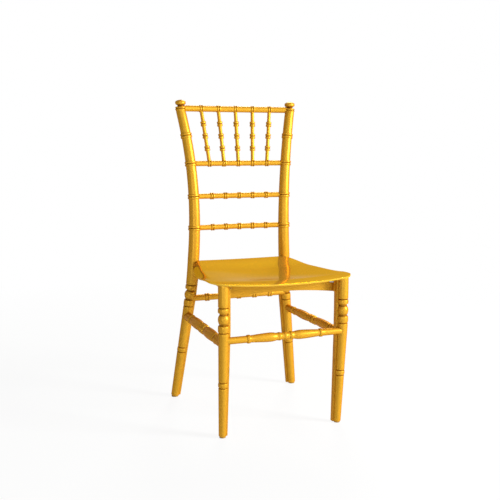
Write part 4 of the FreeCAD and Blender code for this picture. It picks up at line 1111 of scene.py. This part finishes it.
bosses = []
for corner_y, forward in ((FRONT_APRON_Y + APRON, 1), (REAR_APRON_Y, -1)):
    mirrored = boss(corner_y, forward)
    bmesh.ops.scale(mirrored, verts=mirrored.verts, vec=(-1, 1, 1))
    bmesh.ops.reverse_faces(mirrored, faces=mirrored.faces)
    bosses += [boss(corner_y, forward), mirrored]
finished("seat_panel_moulded", united([seat] + bosses), ["seat_panel"], material=POLISHED)
print("faces of the seat:", piece_sizes["seat_panel_moulded"])

# %% [markdown]
# ## Hidden pieces
# The corner blocks, bolts, screws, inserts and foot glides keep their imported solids, which have the right
# shape already. Blocks are moulded in the same resin. Bolts and screws are zinc-plated steel, grey and a
# little blue. Inserts are turned brass. Glides are matt tan polyethylene, scuffed by floors.

# %% Finishes of the hidden pieces
PLATING_MM = 2.0
TOOL_MARK_MM = 0.8
SCUFF_MM = 3.0
WEAR_DEPTH = 0.0002     # metres


def worn_finish(name, colours, spacing, roughness, metallic, bump_strength):
    """A finish whose colour, roughness and height follow one fine noise."""
    material, tree = empty_material(name)
    noise = noise_over(tree, add_node(tree, "ShaderNodeTexCoord").outputs["Object"], spacing, 4.0)
    add_surface(tree, {"Metallic": metallic}, two_tones(tree, colours, noise),
                ranged(tree, noise, roughness), (bump_strength, WEAR_DEPTH), noise)
    return material


ZINC = worn_finish("zinc_plated_steel", ("#A9ADB2", "#C3C6CA"), PLATING_MM, (0.28, 0.42), 1.0, 0.1)
BRASS = worn_finish("turned_brass", ("#B08D3C", "#C9A452"), TOOL_MARK_MM, (0.25, 0.4), 1.0, 0.2)
GLIDE = worn_finish("matt_tan_polyethylene", ("#94763C", "#A58649"), SCUFF_MM, (0.5, 0.7), 0.0, 0.3)
FASTENERS = {"corner_bolts": ZINC, "block_screws": ZINC, "seat_screws": ZINC, "corner_inserts": BRASS}
for name, piece in nodes.items():
    finish = GLIDE if name.endswith("_glide") else FASTENERS.get(name, RESIN)
    if not piece.material_slots:
        piece.data.materials.append(finish)
    for slot in piece.material_slots:
        slot.material = finish
print("finishes:", [material.name for material in (RESIN, ZINC, BRASS, GLIDE)])

# %% [markdown]
# ## Floor and background
# The chair stands on a plain pale floor in front of white. The floor is a diffuse pale paint that takes
# the chair's soft shadow. Where the eye or a gloss looks at it, most of it glows white, so that floor and
# background meet without a line. That glow lights nothing diffuse.

# %% Floor and background
FLOOR_HALF = 6.0
FLOOR_GLOW = 0.9        # share of white near the chair, where its shadow falls
SHADOW_REACH = 0.9      # metres from the middle of the chair
ALL_WHITE_FROM = 2.4
WORLD_LIGHT = 0.2
WHITE = (1, 1, 1, 1)


def seen_by_eye(tree):
    """1 where the camera, a gloss or a glass looks straight at the surface, else 0."""
    path = add_node(tree, "ShaderNodeLightPath")
    eye = add_node(tree, "ShaderNodeMath", {"operation": "MAXIMUM"},
                   {0: path.outputs["Is Camera Ray"], 1: path.outputs["Is Glossy Ray"]})
    return add_node(tree, "ShaderNodeMath", {"operation": "MAXIMUM"},
                    {0: eye.outputs[0], 1: path.outputs["Is Transmission Ray"]}).outputs[0]


def pale_floor():
    shape = bmesh.new()
    bmesh.ops.create_grid(shape, x_segments=1, y_segments=1, size=FLOOR_HALF)
    floor = in_scene("floor", mesh_of("floor", shape))
    material, tree = empty_material("painted_studio_floor")
    paint = add_node(tree, "ShaderNodeBsdfDiffuse", {"Color": linear("#F4F4F2")})
    glow = add_node(tree, "ShaderNodeEmission", {"Color": WHITE, "Strength": 1.0})
    place = add_node(tree, "ShaderNodeTexCoord").outputs["Object"]
    away = add_node(tree, "ShaderNodeVectorMath", {"operation": "LENGTH"}, {0: place}).outputs["Value"]
    reach = {"From Min": SHADOW_REACH, "From Max": ALL_WHITE_FROM, "To Min": FLOOR_GLOW}
    fade = add_node(tree, "ShaderNodeMapRange", reach, {"Value": away})
    share = add_node(tree, "ShaderNodeMath", {"operation": "MULTIPLY"},
                     {0: seen_by_eye(tree), 1: fade.outputs["Result"]})
    mix = add_node(tree, "ShaderNodeMixShader", {},
                   {0: share.outputs[0], 1: paint.outputs["BSDF"], 2: glow.outputs["Emission"]})
    add_node(tree, "ShaderNodeOutputMaterial", {}, {"Surface": mix.outputs[0]})
    floor.data.materials.append(material)


def white_world():
    """A background that looks white and lights the chair only a little."""
    world = bpy.data.worlds.new("white_studio")
    world.use_nodes = True
    tree = world.node_tree
    tree.nodes.clear()
    seen = add_node(tree, "ShaderNodeBackground", {"Color": WHITE, "Strength": 1.0})
    light = add_node(tree, "ShaderNodeBackground", {"Color": WHITE, "Strength": WORLD_LIGHT})
    mix = add_node(tree, "ShaderNodeMixShader", {},
                   {0: seen_by_eye(tree), 1: light.outputs[0], 2: seen.outputs[0]})
    add_node(tree, "ShaderNodeOutputWorld", {}, {"Surface": mix.outputs[0]})
    bpy.context.scene.world = world


pale_floor()
white_world()
print("floor is", 2 * FLOOR_HALF, "m wide")

# %% [markdown]
# ## Lamps
# The photograph's highlights are long and soft, on the right of every upright bar, and the left of the
# bars is in shade. So the main lamp is a large softbox far to the right. A weak one low on the left keeps
# the shaded sides of the legs from going flat. A third stands high behind the chair: it gives the bars a
# bright right edge, and it lights the chair's back.

# %% Soft studio lamps
CHAIR_MIDDLE = Vector((0, 0, 0.5))


def softbox(name, place, size, watts):
    data = bpy.data.lights.new(name, "AREA")
    data.shape = "SQUARE"
    data.size = size
    data.energy = watts
    lamp = in_scene(name, data)
    lamp.location = place
    lamp.rotation_euler = (CHAIR_MIDDLE - Vector(place)).to_track_quat("-Z", "Y").to_euler()
    return lamp


key = softbox("key_softbox", place=(2.9, -2.4, 1.5), size=1.1, watts=262)
fill = softbox("fill_softbox", place=(-1.5, -2.1, 0.3), size=0.5, watts=8)
back = softbox("back_softbox", place=(1.2, 2.4, 2.6), size=0.8, watts=50)
print("lamps:", key.name, fill.name, back.name)

# %% [markdown]
# ## Finish
# The view transform is Standard, so that a colour renders about as it is written.

# %% View transform
bpy.context.scene.view_settings.view_transform = "Standard"
